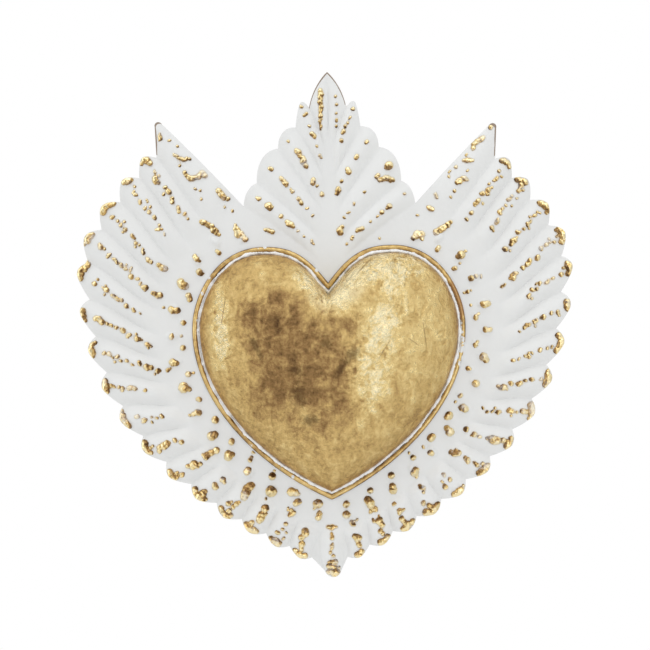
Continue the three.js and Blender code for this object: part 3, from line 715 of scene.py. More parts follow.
def spots_of_gold():
    """The spots on the ribs and the leaf, and the spots on the bosses."""
    gold = Gilding(GILDING_SEED)
    chance = gold.chance
    for side, reaches in ((1, RIGHT_ROWS), (-1, LEFT_ROWS)):
        for number, reach in enumerate(reaches, start=1):
            rib = RIBS[f"wing {number} {side}"]
            start = LOWER_START if number >= LOWER_FROM_RIB else UPPER_START
            crest = rib.crest(0.5 + chance.normal(0, ROW_STRAY))
            gold.row(crest, start * chance.uniform(*START_STRAY), reach, *row_style(number, side))
            gold.cap(rib, CAP_RADIUS)
    for radius, *places in (*WING_TIP_STROKES, *LEAF_EXTRAS):
        gold.stroke(places, radius)
    for name, strokes in LEAF_STROKES.items():
        for reach, length, radius in strokes:
            gold.along(RIBS[name].crest(), reach, length, radius, chance.normal(0, LEAF_STRAY))
    spear = [leaf_point((SPEAR_STROKE_ACROSS, reach), -1) for reach in SPEAR_STROKE_REACH]
    gold.stroke(spear, SPEAR_STROKE_RADIUS, SPEAR_STROKE_TAPER)
    for reach in SPEAR_DOTS:
        gold.stroke([leaf_point((SPEAR_DOTS_ACROSS, reach), 1)], SPEAR_DOT_RADIUS)
    tail = RIBS["tail"].crest()
    gold.row(tail, **TAIL_ROW)
    for radius, *places in TAIL_STROKES:
        gold.stroke(np.array(places) + tail.at(0.0), radius)
    on_ribs = len(gold.spots)
    for radius, *places in FIRST_BOSS_STROKES:
        gold.stroke(places, radius)
    for at, out, ring, number in boss_frames():
        if number == 0:
            continue
        width = ring["width"] * (BOSS_GOLD_WIDTH + BOSS_GOLD_GROWTH * number / BOSSES_PER_SIDE)
        radius = width * chance.uniform(*BOSS_GOLD_SIZES)
        half = max(ring["length"] * chance.uniform(*BOSS_GOLD_HALVES) - radius, SHORTEST_HALF)
        aside = chance.normal(0, BOSS_GOLD_STRAY, 2)
        gold.stroke([at + aside - out * half, at + aside * 0.5 + out * half], radius)
        if chance.random() < BOSS_DROP_SHARE:
            stray = chance.normal(0, 1, 2)
            reach = chance.choice((-1, 1)) * ring["length"] * BOSS_DROP_REACH
            gold.stroke([at + stray + out * reach], BOSS_DROP_RADIUS)
    return np.array(gold.spots[:on_ribs]), np.array(gold.spots[on_ribs:])


def plate_fields(points, spots):
    """At each point, how far it lies inside the gilding's edge, and how high a boss stands."""
    tree = point_finder(points)
    blend, lift = np.zeros(len(points)), np.zeros(len(points))
    for x, z, radius in spots:
        found = [i for _, i, _ in tree.find_range((x, z, 0), radius + GILT_REACH)]
        away = np.linalg.norm(points[found] - (x, z), axis=1)
        blend[found] += np.exp(GILT_SHARPNESS * (radius - away))
    for at, out, ring, _ in boss_frames():
        found = [i for _, i, _ in tree.find_range((at[0], at[1], 0), ring["length"])]
        away = points[found] - at
        u = (away @ out) / (ring["length"] / 2)
        v = (away @ (-out[1], out[0])) / (ring["width"] / 2)
        rise = ring["height"] * np.clip(1 - u * u - v * v, 0, 1) ** BOSS_FULLNESS
        lift[found] = np.maximum(lift[found], rise)
    return np.log(np.maximum(blend, LEAST_GILT)) / GILT_SHARPNESS, lift


# Meshes from arrays

def linked(name, data):
    """A new object in the scene that holds this data."""
    made = bpy.data.objects.new(name, data)
    bpy.context.scene.collection.objects.link(made)
    return made


def mesh_object(name, points, faces=(), attributes=(), edges=()):
    """An object whose points are millimetres in the part's frame."""
    mesh = bpy.data.meshes.new(name)
    mesh.from_pydata((np.asarray(points) * MM).tolist(), list(edges), [tuple(map(int, f)) for f in faces])
    for key, values in dict(attributes).items():
        layer = mesh.attributes.new(key, "FLOAT", "POINT")
        layer.data.foreach_set("value", np.asarray(values, np.float32))
    mesh.validate()
    return linked(name, mesh)


def on_plate(points, depth=0.0):
    """Plane points as space points, depth behind the plate's front face."""
    points = np.asarray(points, float)
    depth = np.broadcast_to(depth, points.shape[:-1])
    return np.stack([points[..., 0], PLATE_FRONT + depth, points[..., 1] + WIDEST_LINE], axis=-1)


def settle(piece):
    """Turns a piece and its modifiers into a plain mesh."""
    depsgraph = bpy.context.evaluated_depsgraph_get()
    made = bpy.data.meshes.new_from_object(
        piece.evaluated_get(depsgraph), preserve_all_data_layers=True, depsgraph=depsgraph)
    piece.modifiers.clear()
    old = piece.data
    piece.data = made
    made.name = piece.name
    bpy.data.meshes.remove(old)
    return piece


def round_off(piece, degrees):
    """Shades a piece smooth, but for edges sharper than this."""
    piece.data.shade_smooth()
    piece.data.set_sharp_from_angle(angle=math.radians(degrees))
    return piece


def merge_close(piece, distance, outwards=False):
    """Joins the points of a piece that lie within a distance, and may turn its faces to point out."""
    shape = bmesh.new()
    shape.from_mesh(piece.data)
    bmesh.ops.remove_doubles(shape, verts=shape.verts, dist=distance * MM)
    if outwards:
        bmesh.ops.recalc_face_normals(shape, faces=shape.faces)
    shape.to_mesh(piece.data)
    shape.free()


# Node trees

class Field:
    """A number socket that ordinary arithmetic joins to others."""

    def __init__(self, tree, socket):
        self.tree, self.socket = tree, socket

    def maths(self, operation, *others):
        return self.tree.maths(operation, self, *others)

    def __add__(self, other):
        return self.maths("ADD", other)

    def __mul__(self, other):
        return self.maths("MULTIPLY", other)

    def __sub__(self, other):
        return self.maths("SUBTRACT", other)

    def __rsub__(self, other):
        return self.tree.maths("SUBTRACT", other, self)

    def smooth(self, low, high, to_low=0.0, to_high=1.0):
        made = self.tree.put("ShaderNodeMapRange", {
            "Value": self, "From Min": low, "From Max": high, "To Min": to_low, "To Max": to_high,
        }, interpolation_type="SMOOTHSTEP")
        return Field(self.tree, made.outputs[0])

    def fade(self, low, high):
        return self.smooth(low, high, 1.0, 0.0)

    __radd__ = __add__
    __rmul__ = __mul__


class Tree:
    """Adds and joins nodes in one node tree."""

    def __init__(self, tree):
        self.tree = tree

    def put(self, kind, inputs=(), **settings):
        made = self.tree.nodes.new(kind)
        for key, value in settings.items():
            setattr(made, key, value)
        for key, value in dict(inputs).items():
            self.join(value, made.inputs[key])
        return made

    def join(self, value, socket):
        if isinstance(value, Field):
            value = value.socket
        if isinstance(value, bpy.types.NodeSocket):
            self.tree.links.new(value, socket)
        else:
            socket.default_value = value

    def maths(self, operation, *values):
        made = self.put("ShaderNodeMath", dict(enumerate(values)), operation=operation)
        return Field(self, made.outputs[0])

    def vector(self, operation, *values, **named):
        """A sum on vectors. Where its result is a number it comes as a field."""
        made = self.put("ShaderNodeVectorMath", dict(enumerate(values)) | named, operation=operation)
        if operation in ("LENGTH", "DOT_PRODUCT"):
            return Field(self, made.outputs["Value"])
        return made.outputs["Vector"]

    def combined(self, **parts):
        return self.put("ShaderNodeCombineXYZ", parts).outputs[0]

    def parts(self, vector):
        made = self.put("ShaderNodeSeparateXYZ", {"Vector": vector})
        return [Field(self, socket) for socket in made.outputs]


class GeometryTree(Tree):
    """A geometry node group with named number inputs."""

    def __init__(self, name, **sizes):
        group = bpy.data.node_groups.new(name, "GeometryNodeTree")
        super().__init__(group)
        group.interface.new_socket("Geometry", in_out="INPUT", socket_type="NodeSocketGeometry")
        group.interface.new_socket("Geometry", in_out="OUTPUT", socket_type="NodeSocketGeometry")
        self.sizes = sizes
        for key in sizes:
            group.interface.new_socket(key, in_out="INPUT", socket_type="NodeSocketFloat")
        self.inputs = group.nodes.new("NodeGroupInput")
        self.geometry = self.inputs.outputs["Geometry"]

    def size(self, key):
        return Field(self, self.inputs.outputs[key])

    def attribute(self, key):
        return Field(self, self.put("GeometryNodeInputNamedAttribute", {"Name": key}).outputs["Attribute"])

    def noise(self, key, detail=2.0):
        """Noise with lumps of the size that an input gives: a number, and a colour."""
        scale = (self.size(key) * MM).maths("POWER", -1.0)
        number, colour = self.put("ShaderNodeTexNoise", {"Scale": scale, "Detail": detail}).outputs
        return Field(self, number), colour

    def store(self, key, value):
        made = self.put("GeometryNodeStoreNamedAttribute", {
            "Geometry": self.geometry, "Name": key, "Value": value}, data_type="FLOAT", domain="POINT")
        self.geometry = made.outputs["Geometry"]

    def move(self, **way):
        """Moves every point by an Offset or to a Position."""
        made = self.put("GeometryNodeSetPosition", {"Geometry": self.geometry} | way)
        self.geometry = made.outputs["Geometry"]

    def apply(self, piece, material):
        """Runs the finished tree on a piece, which becomes a plain mesh of this material."""
        real = self.put("GeometryNodeRealizeInstances", {"Geometry": self.geometry})
        painted = self.put("GeometryNodeSetMaterial", {"Geometry": real.outputs[0], "Material": material})
        self.put("NodeGroupOutput", {"Geometry": painted.outputs[0]})
        modifier = piece.modifiers.new(self.tree.name, "NODES")
        modifier.node_group = self.tree
        for item in self.tree.interface.items_tree:
            if item.in_out == "INPUT" and item.name in self.sizes:
                modifier[item.identifier] = float(self.sizes[item.name])
        return settle(piece)


class MaterialTree(Tree):
    """A material on object coordinates."""

    def __init__(self, name):
        self.material = bpy.data.materials.new(name)
        self.material.use_nodes = True
        super().__init__(self.material.node_tree)
        self.tree.nodes.clear()
        self.shader = self.put("ShaderNodeBsdfPrincipled")
        out = self.put("ShaderNodeOutputMaterial")
        self.join(self.shader.outputs["BSDF"], out.inputs["Surface"])
        self.place = self.put("ShaderNodeTexCoord").outputs["Object"]
        self.normal = self.place.node.outputs["Normal"]

    def attribute(self, key):
        return Field(self, self.put("ShaderNodeAttribute", attribute_name=key).outputs["Fac"])

    def stretched(self, scale, turn):
        """Object coordinates drawn out along one way, for strokes and scratches."""
        made = self.put("ShaderNodeMapping", {
            "Vector": self.place, "Scale": scale, "Rotation": (0, math.radians(turn), 0)})
        return made.outputs["Vector"]

    def around(self, centre, half=(METRE, METRE), turn=0.0):
        """Object coordinates counted from a centre on the plate, in half sizes across and up."""
        made = self.put("ShaderNodeMapping", {
            "Vector": self.place, "Location": (centre[0] * MM, 0.0, (centre[1] + WIDEST_LINE) * MM),
            "Rotation": (0.0, math.radians(-turn), 0.0), "Scale": (half[0] * MM, 1.0, half[1] * MM)},
            vector_type="TEXTURE")
        return made.outputs[0]

    def away(self, *place):
        """How far a point of the plate lies from a centre, counted in half sizes across and up."""
        return self.vector("LENGTH", self.around(*place))

    def over(self, places, ragged, low, high):
        """How far a point lies within any of the places, from 0 to 1, with ragged edges."""
        return sum((self.away(*place) + ragged).fade(low, high) for place in places).maths("MINIMUM", 1.0)

    def round_strokes(self, centre, pitch, run):
        """Noise drawn out into arcs round a centre on the plate."""
        x, _, z = self.parts(self.around(centre))
        turn = z.maths("ARCTAN2", x) * run * (pitch * MM)
        return self.noise(pitch, place=self.combined(X=self.away(centre), Y=turn))

    def noise(self, size, detail=3.0, roughness=0.5, distortion=0.0, place=None):
        """Noise from 0 to 1 whose lumps are about size millimetres across."""
        made = self.put("ShaderNodeTexNoise", {
            "Vector": place or self.place, "Scale": 1 / (size * MM), "Detail": detail,
            "Roughness": roughness, "Distortion": distortion})
        return Field(self, made.outputs["Fac"])

    def stray(self, spread, *noise):
        """Noise that strays evenly to both sides of nought, over this spread."""
        return (self.noise(*noise) - 0.5) * spread

    def ramp(self, factor, *stops):
        made = self.put("ShaderNodeValToRGB", {"Fac": factor})
        elements = made.color_ramp.elements
        while len(elements) < len(stops):
            elements.new(0.5)
        for element, (at, colour) in zip(elements, stops):
            element.position = at
            element.color = (*colour, 1)
        return made.outputs["Color"]

    def mix(self, factor, a, b, kind="MIX"):
        made = self.put("ShaderNodeMix", data_type="RGBA", blend_type=kind)
        self.join(factor, made.inputs[0])
        for socket, value in ((made.inputs[6], a), (made.inputs[7], b)):
            self.join((*value, 1) if isinstance(value, tuple) else value, socket)
        return made.outputs[2]

    def bump(self, height, distance, strength=1.0, normal=None):
        made = self.put("ShaderNodeBump", {"Height": height, "Distance": distance * MM, "Strength": strength})
        if normal:
            self.join(normal, made.inputs["Normal"])
        return made.outputs["Normal"]

    def set(self, **values):
        for key, value in values.items():
            name = key.replace("_", " ").title()
            if isinstance(value, tuple):
                value = (*value, 1)
            self.join(value, self.shader.inputs[name])
        return self.material


# Finishes

WHITE = (0.775, 0.775, 0.76)
THICK_WHITE = (0.93, 0.93, 0.92)
# A greyer white: painted shade in the rib creases, and grey smudges
GREY_SMUDGE_AND_SHADE_WHITE = (0.70, 0.70, 0.69)
GOLD_PALE = (0.93, 0.78, 0.46)
GOLD_BRIGHT = (0.86, 0.66, 0.30)
PALE_HIGHLIGHT_GOLD = (0.97, 0.84, 0.52)
GOLD_MIDDLE = (0.66, 0.45, 0.175)
GOLD_DARK = (0.34, 0.20, 0.08)
UMBER = (0.11, 0.06, 0.026)
WAX = (0.50, 0.38, 0.23)
RUST = (0.34, 0.16, 0.07)
EDGE_BROWN = (0.20, 0.12, 0.06)
BRONZE_DARK = (0.11, 0.07, 0.04)
BRONZE_MIDDLE = (0.21, 0.135, 0.07)
BRONZE_PALE = (0.30, 0.205, 0.11)
CUT_DARK = (0.16, 0.10, 0.06)
CUT_PALE = (0.42, 0.28, 0.13)
STEEL_DARK = (0.16, 0.13, 0.10)
STEEL_MIDDLE = (0.42, 0.37, 0.30)
STEEL_PALE = (0.56, 0.52, 0.46)
SOLDER_DARK = (0.20, 0.19, 0.18)
SOLDER_PALE = (0.45, 0.44, 0.42)

# Places on the dome and its wire: a centre, half sizes across and up, and a turn. Some need fewer of these.
# Painted highlights: places where the dome is painted lighter, with more contrast in its grain
PAINTED_HIGHLIGHT_PLACES = (((-63, 0), (6, 28), 5), ((-12, 27), (14, 6), -35), ((2, 20), (15, 12), 0),
                 ((1, 25), (9, 8), 0), ((29, -10), (13, 48), -14), ((34, 31), (24, 11), 12),
                 ((22, 34), (22, 9), 30))
STAINED_PLACES = (((-17, -24), (35, 41), 0), ((-35, 6), (18, 14), 0))
DARK_MARKS = (((-43, -10), (2.2, 8.5), 27), ((-2.5, -8.5), (3.5, 4), 0), ((13, -16), (6, 4), 35),
              ((-20, -25), (4, 3), 0), ((-18, -38), (5, 8), 12), ((6, -24), (2.5, 7), -30),
              ((-12, -53), (6, 3), 10))
WHITE_SPECKS = ((-22.8, -87.3), (-6.8, 34.5), (-37, 48.9), (-20.5, 46.8))
SCRATCHES = (((32, -13), (0.45, 8), -33), ((50, -9), (6, 0.4), -35), ((19, 34), (0.5, 12), -42),
             ((56, -4), (0.45, 9), 6), ((-62, 10), (0.5, 10), -10))
LEFT_LOBE = (-27, 8)
# The dome's right side, painted a little lighter as painted light
LIGHTER_RIGHT_SIDE = ((58, 2), (26, 50))
CLEFT_RIM = ((0, 26), (9, 9))
# A painted highlight just by the cleft
CLEFT_HIGHLIGHT_PLACE = ((7, 24), (18, 11), 22)
REDDISH_WIRE = ((76, 17), (5, 17))
DRAGGED_PAINT = ((77.5, -11), (2.5, 14))

# The raised gold is painted lighter on its sides that face away from a point this far below the heart's
# widest line, and darker on those that face it
GOLD_CENTRE_DROP = 15


def painted_front():
    """Rubbed white paint, greyed in the rib creases as painted shade, with brown wax and thin gold at the
    foot of each gilded mark.
    """
    m = MaterialTree("white_over_gilding")
    ragged = m.attribute("gilt_edge") + m.stray(1.3, 1.5, 3, 0.6)
    gilt = ragged.smooth(0.3, 0.5)
    stained = ragged.smooth(-0.4, 0.3)
    # Painted shade: the white greys where each rib sinks into its creases, besides noisy grey smudges
    crease_shade = m.attribute("crest").fade(0.0, 0.5)
    white = m.mix(crease_shade * 0.1 + m.noise(9, 4, 0.6).smooth(0.45, 0.8) * 0.25, WHITE, GREY_SMUDGE_AND_SHADE_WHITE)
    white = m.mix(stained * 0.4, white, WAX)
    rim = (m.attribute("along") * m.attribute("worn") + m.stray(0.025, 9, 2)).smooth(0.979, 0.985)
    white = m.mix(rim * 0.85, white, EDGE_BROWN)
    return m.set(base_color=m.mix(gilt, white, GOLD_MIDDLE), metallic=gilt, roughness=gilt * -0.2 + 0.6,
                 normal=m.bump(m.noise(5, 5, 0.62), 0.25, 0.5))


def raised_gold():
    """Leaf on the lumps: painted highlight on the side that faces out, painted shade on the inner side, and
    brown wax with painted shade at the foot.
    """
    m = MaterialTree("raised_gold_leaf")
    way = m.vector("SUBTRACT", m.place, (0.0, 0.0, (WIDEST_LINE - GOLD_CENTRE_DROP) * MM))
    way = m.vector("NORMALIZE", m.vector("MULTIPLY", way, (1.0, 0.0, 1.0)))
    # Painted highlight and shade: each lump is lighter where it faces out from the heart and darker where it
    # faces in
    outward = m.vector("DOT_PRODUCT", way, m.normal) + m.stray(0.9, 2.6, 3, 0.6)
    tone = m.noise(2.4, 3, 0.6) * 0.45 + m.noise(16, 3) * 0.35 + outward.smooth(-0.4, 0.5, -0.05, 0.32)
    gold = m.ramp(tone, (0.28, UMBER), (0.37, GOLD_DARK), (0.47, GOLD_MIDDLE), (0.56, GOLD_BRIGHT),
                  (0.65, GOLD_PALE))
    # Partly brown wax and partly painted shade: the gold darkens towards the foot of each lump, where it
    # meets the plate
    foot = (m.attribute("stand") + m.stray(0.4, 1.2, 2)).fade(0.0, 0.25)
    gold = m.mix(foot * 0.3, gold, UMBER)
    veil = (m.noise(11, 3, 0.6) + m.stray(0.35, 1.6, 3, 0.6)).smooth(0.53, 0.75, 0.0, 0.55)
    return m.set(base_color=m.mix(veil, gold, WHITE), metallic=1 - veil, roughness=veil * 0.25 + 0.28,
                 normal=m.bump(m.noise(0.9, 3, 0.6), 0.16, 0.6))


def gilt_dome_finish():
    """Rubbed gold leaf: painted highlights and glints, a right side painted lighter and a painted highlight
    by the cleft, stains, dark marks, brushed arcs, fine grain and scratches.
    """
    m = MaterialTree("aged_gold_leaf")
    drift = m.stray(1.6, 20, 4, 0.6)
    patches = m.noise(9, 6, 0.68, 0.4)
    specks = m.noise(2.2, 4, 0.65)
    arcs = (m.round_strokes(LEFT_LOBE, 2.2, 1.4) - 0.5) * m.away(LEFT_LOBE, (38, 38)).fade(0.6, 1.0)
    streaks = m.noise(5, 5, 0.6, place=m.stretched((1, 1, 0.18), 8)) - 0.5
    # Painted highlight: the dome's colour and grain contrast are raised in these places
    bright = m.over(PAINTED_HIGHLIGHT_PLACES, drift, 0.3, 1.3)
    stained = m.over(STAINED_PLACES, drift, 0.3, 1.4)
    # Painted glints: small pale flecks, most of them in the painted highlights
    glint_flecks = m.noise(3.2, 5, 0.7, 0.6).smooth(0.52, 0.68) * (bright * 0.8 + 0.2)
    tone = bright * 0.25 - stained * 0.2 + (patches - 0.5) * (stained * 0.15 + bright * 1.2 + 0.5) + 0.57
    # Painted light: the right side of the dome is a little lighter
    tone = tone + m.away(*LIGHTER_RIGHT_SIDE).smooth(0.4, 1.2, 0.07, 0.0)
    tone = tone + (specks - 0.5) * (bright * 0.5 + 0.4) + streaks * 0.3 + arcs * 0.22 + glint_flecks * 0.2
    colour = m.ramp(tone, (0.2, UMBER), (0.38, GOLD_DARK), (0.56, GOLD_MIDDLE), (0.72, GOLD_BRIGHT),
                    (0.9, GOLD_PALE), (1.0, PALE_HIGHLIGHT_GOLD))
    rim = (m.attribute("rise") + m.stray(0.3, 7, 3, 0.6)).fade(0.0, 0.25)
    open_rim = m.away(*CLEFT_RIM).smooth(0.6, 1.2)
    colour = m.mix(rim * open_rim * 0.5, colour, RUST)
    colour = m.mix(m.over(DARK_MARKS, m.stray(3.4, 3.5, 5, 0.75), 0.2, 1.3) * 0.7, colour, UMBER)
    colour = m.mix(m.over(SCRATCHES, m.stray(1.2, 4, 3, 0.6), 0.5, 1.0) * 0.6, colour, GOLD_DARK)
    # Painted highlight: a pale patch by the cleft, and the palest gold at the top of the dome's ramp
    cleft_highlight = (m.away(*CLEFT_HIGHLIGHT_PLACE) + drift * 0.4).fade(0.4, 1.3) * patches.smooth(0.3, 0.52)
    colour = m.mix(cleft_highlight * 0.85, colour, PALE_HIGHLIGHT_GOLD)
    normal = None
    for relief, depth, strength in ((patches, 3.6, 0.75), (streaks, 0.8, 0.4), (arcs, 0.7, 0.4),
                                    (specks, 1.4, 0.65), (m.noise(1.1, 3, 0.6), 0.4, 0.6),
                                    (glint_flecks, 0.8, 0.6)):
        normal = m.bump(relief, depth, strength, normal)
    return m.set(base_color=colour, metallic=1.0, roughness=tone.smooth(0.35, 0.95, 0.42, 0.2), normal=normal)


def gilt_wire_finish():
    """Worn gilding on the bead: painted shade on its flanks and a painted highlight along its top, and paint
    dragged over it in places.
    """
    m = MaterialTree("gilt_wire")
    _, depth, _ = m.parts(m.place)
    height = (PLATE_FRONT * MM - depth) * (1 / (BEAD_HEIGHT * MM))
    # Painted shade and highlight: the wire darkens down its flanks and lightens along its top
    flank_shade_top_light = (height + m.stray(0.9, 4, 4, 0.6)).smooth(0.3, 0.95, -0.15, 0.06)
    tone = m.noise(3.5, 5, 0.65) * 0.5 + m.noise(20, 3) * 0.5 + flank_shade_top_light
    colour = m.ramp(tone, (0.3, UMBER), (0.4, GOLD_DARK), (0.54, GOLD_MIDDLE), (0.7, GOLD_BRIGHT))
    reddish = (m.away(*REDDISH_WIRE) + m.stray(1.0, 6, 3, 0.6)).fade(0.8, 1.2)
    colour = m.mix(reddish * 0.7, colour, RUST)
    dragged = (m.away(*DRAGGED_PAINT) + m.stray(1.0, 3, 3, 0.6)).smooth(0.9, 1.1, 0.3, 0.0)
    specks = m.over([(place, (1, 1.2)) for place in WHITE_SPECKS], m.stray(1.0, 1, 2), 0.8, 1.0)
    paint = (m.noise(4, 4, 0.6) + m.noise(30, 2) * 0.6 + dragged + specks).smooth(0.98, 1.02)
    return m.set(base_color=m.mix(paint, colour, WHITE), metallic=1 - paint, roughness=paint * 0.2 + 0.36,
                 normal=m.bump(m.noise(1.4, 4, 0.6), 0.25, 0.7))


def lacquered_back():
    """Dull bronze lacquer on the hidden side, with patchy tarnish."""
    m = MaterialTree("bronze_back")
    tone = m.noise(25, 5, 0.6) * 0.6 + m.noise(3, 4, 0.7) * 0.45
    colour = m.ramp(tone, (0.35, BRONZE_DARK), (0.55, BRONZE_MIDDLE), (0.75, BRONZE_PALE))
    return m.set(base_color=colour, metallic=0.85, roughness=tone.smooth(0.3, 0.7, 0.6, 0.42),
                 normal=m.bump(m.noise(2, 4, 0.6), 0.2, 0.5))


def cut_edge():
    m = MaterialTree("cut_sheet_edge")
    colour = m.ramp(m.noise(3, 4, 0.6), (0.4, CUT_DARK), (0.6, CUT_PALE))
    return m.set(base_color=colour, metallic=0.8, roughness=0.5)


def groove_paint_finish():
    m = MaterialTree("thick_white_paint")
    colour = m.mix(m.noise(2.5, 4, 0.6).smooth(0.45, 0.8) * 0.5, THICK_WHITE, GREY_SMUDGE_AND_SHADE_WHITE)
    return m.set(base_color=colour, roughness=0.6, normal=m.bump(m.noise(1.2, 4, 0.6), 0.2, 0.8))


def bare_metal(name, tarnish, dullness, dents, *stops):
    """Old metal whose colour and dullness follow one noise, with small dents: their size and depth."""
    m = MaterialTree(name)
    tone = m.noise(*tarnish)
    return m.set(base_color=m.ramp(tone, *stops), metallic=1.0, roughness=tone.smooth(0.3, 0.7, *dullness),
                 normal=m.bump(m.noise(dents[0], 3), dents[1], 0.6))


FINISH = {
    "front": painted_front(),
    "lumps": raised_gold(),
    "dome": gilt_dome_finish(),
    "wire": gilt_wire_finish(),
    "back": lacquered_back(),
    "edge": cut_edge(),
    "groove": groove_paint_finish(),
    "hanger": bare_metal("dull_hanger_metal", (4, 5, 0.6), (0.55, 0.36), (0.8, 0.08),
                         (0.35, STEEL_DARK), (0.55, STEEL_MIDDLE), (0.7, STEEL_PALE)),
    "solder": bare_metal("grey_solder", (1.6, 4, 0.6), (0.5, 0.34), (0.7, 0.1),
                         (0.35, SOLDER_DARK), (0.6, SOLDER_PALE)),
}


# Embossed plate

WORN_RIBS = {"wing tip 1": 1.0, "wing tip -1": 1.0, "spear -1": 1.008, "spear 1": 1.008}
RIB_SPOTS, BOSS_SPOTS = spots_of_gold()


def flat_plate_net():
    """The plate before embossing: points, faces, and what is known of each point."""
    nets, faces, start = [], [], 0
    for rib in RIBS.values():
        net, s, t = rib.net()
        index = start + np.arange(s.size).reshape(s.shape)
        quads = np.stack([index[:-1, :-1], index[:-1, 1:], index[1:, 1:], index[1:, :-1]], axis=-1)
        faces += [*quads.reshape(-1, 4)]
        relief, worn = np.full(s.size, rib.relief), np.full(s.size, WORN_RIBS.get(rib.name, 0.0))
        nets.append((net.reshape(-1, 2), s.ravel(), t.ravel(), relief, worn))
        start += s.size
    ground, triangles = ground_net()
    nets.append((ground, *np.zeros((4, len(ground)))))
    points, *known = (np.concatenate(values) for values in zip(*nets))
    return points, [*faces, *(triangles + start)], dict(zip(("across", "along", "relief", "worn"), known))


def facing_up(points, faces):
    """The same faces, each turned to run anticlockwise round its points x, z."""
    turned = []
    for face in faces:
        corner = points[list(face)]
        after = np.roll(corner, -1, axis=0)
        area = (corner[:, 0] * after[:, 1] - corner[:, 1] * after[:, 0]).sum()
        turned.append(tuple(face) if area > 0 else tuple(face[::-1]))
    return turned


def emboss(sheet):
    """Raises the ribs and bosses of the flat sheet, and hammers it finely."""
    tree = GeometryTree(
        "emboss_sheet", rise_share=RIB_RISE_SHARE, fall_share=RIB_FALL_SHARE, edge_drop=RIB_EDGE_DROP,
        lump_scale=1.0, hammer_height=0.35, hammer_size=9.0, hammered_pan=0.15)
    across, along = tree.attribute("across"), tree.attribute("along")
    fall = (along - 1 + tree.size("fall_share")).maths("DIVIDE", tree.size("fall_share")).smooth(0, 1)
    rise = along.maths("DIVIDE", tree.size("rise_share")).smooth(0, 1) * (1 - fall * tree.size("edge_drop"))
    crest = (across * math.pi).maths("SINE") * rise
    tree.store("crest", crest)
    dents, _ = tree.noise("hammer_size")
    hammer = (dents - 0.5) * tree.size("hammer_height") * (crest + tree.size("hammered_pan"))
    height = crest * tree.attribute("relief") + tree.attribute("lump") * tree.size("lump_scale") + hammer
    tree.move(Offset=tree.combined(Y=height * -MM))
    return tree.apply(sheet, FINISH["front"])


# Lumps land along rays from this far in front. What passes the plate's edge lands from this height on its
# nearest place, folded back in by a share, and a lump's buried side keeps a slope.
RAY_RUN = 50
RIM_HEIGHT = 3
FOLD_IN = 0.03
BURIED_SLOPE = 0.05


def lay_lumps(spots, plate, finish, **sizes):
    """Fuses round spots into soft lumps, flattens them and lays them on the plate's front."""
    sizes = dict(grain=0.5, height=0.8, back=0.3, uneven=1.1, uneven_size=2.2, ragged=1.3) | sizes
    tree = GeometryTree(f"raise_{finish.name}", **sizes)
    radius = tree.attribute("spot_radius") * MM
    points = tree.put("GeometryNodeMeshToPoints", {"Mesh": tree.geometry, "Radius": radius})
    cloud = tree.put("GeometryNodePointsToVolume", {
        "Points": points.outputs[0], "Radius": radius, "Voxel Size": tree.size("grain") * MM},
        resolution_mode="VOXEL_SIZE")
    skin = tree.put("GeometryNodeVolumeToMesh", {"Volume": cloud.outputs[0], "Threshold": 0.1})
    tree.geometry = skin.outputs[0]
    at = tree.put("GeometryNodeInputPosition").outputs[0]
    uneven, colour = tree.noise("uneven_size")
    either_way = tree.vector("SUBTRACT", colour, (0.5, 0.5, 0.5))
    shift = tree.vector("SCALE", either_way, Scale=tree.size("ragged") * MM)
    x, _, z = tree.parts(tree.vector("ADD", at, shift))
    _, y, _ = tree.parts(at)
    stand = y * tree.size("height") * ((uneven - 0.5) * tree.size("uneven") + 1)
    raised = stand.maths("MINIMUM", stand * BURIED_SLOPE + tree.size("back") * MM)
    tree.store("stand", raised * (-1 / MM))
    sheet = tree.put("GeometryNodeObjectInfo", {"Object": plate}, transform_space="ORIGINAL")
    sheet = sheet.outputs["Geometry"]
    ray = tree.put("GeometryNodeRaycast", {
        "Target Geometry": sheet, "Source Position": tree.combined(X=x, Y=(PLATE_FRONT - RAY_RUN) * MM, Z=z),
        "Ray Direction": (0, 1, 0), "Ray Length": 2 * RAY_RUN * MM})
    over = tree.combined(X=x, Y=(PLATE_FRONT - RIM_HEIGHT) * MM, Z=z)
    near = tree.put("GeometryNodeProximity", {0: sheet, "Sample Position": over}, target_element="FACES")
    nearest = near.outputs["Position"]
    folded = tree.vector(
        "MULTIPLY_ADD", tree.vector("SUBTRACT", over, nearest), (-FOLD_IN, 0.0, -FOLD_IN), nearest)
    landed = tree.put("GeometryNodeSwitch", {
        "Switch": ray.outputs["Is Hit"], "False": folded, "True": ray.outputs["Hit Position"]},
        input_type="VECTOR")
    tree.move(Position=tree.vector("ADD", landed.outputs[0], tree.combined(Y=raised)))
    return tree.apply(spots, finish)


def make_lumps(name, spots, plate, finish, **sizes):
    places = np.stack([spots[:, 0], np.zeros(len(spots)), spots[:, 1] + WIDEST_LINE], axis=1)
    lumps = mesh_object(name, places, attributes={"spot_radius": spots[:, 2]})
    return round_off(lay_lumps(lumps, plate, finish, **sizes), degrees=80)


def make_plate():
    points, faces, known = flat_plate_net()
    edge, lump = plate_fields(points, np.concatenate([RIB_SPOTS, BOSS_SPOTS]))
    plate = mesh_object("embossed_plate", on_plate(points), facing_up(points, faces),
                        known | {"gilt_edge": edge, "lump": lump})
    merge_close(plate, RIB_SEAM)
    emboss(plate)
    plate.data.materials.append(FINISH["back"])
    plate.data.materials.append(FINISH["edge"])
    sheet = plate.modifiers.new("sheet", "SOLIDIFY")
    sheet.thickness = SHEET_THICKNESS * MM
    sheet.offset = -1
    sheet.material_offset = 1
    sheet.material_offset_rim = 2
    return round_off(settle(plate), degrees=62)


# Heart

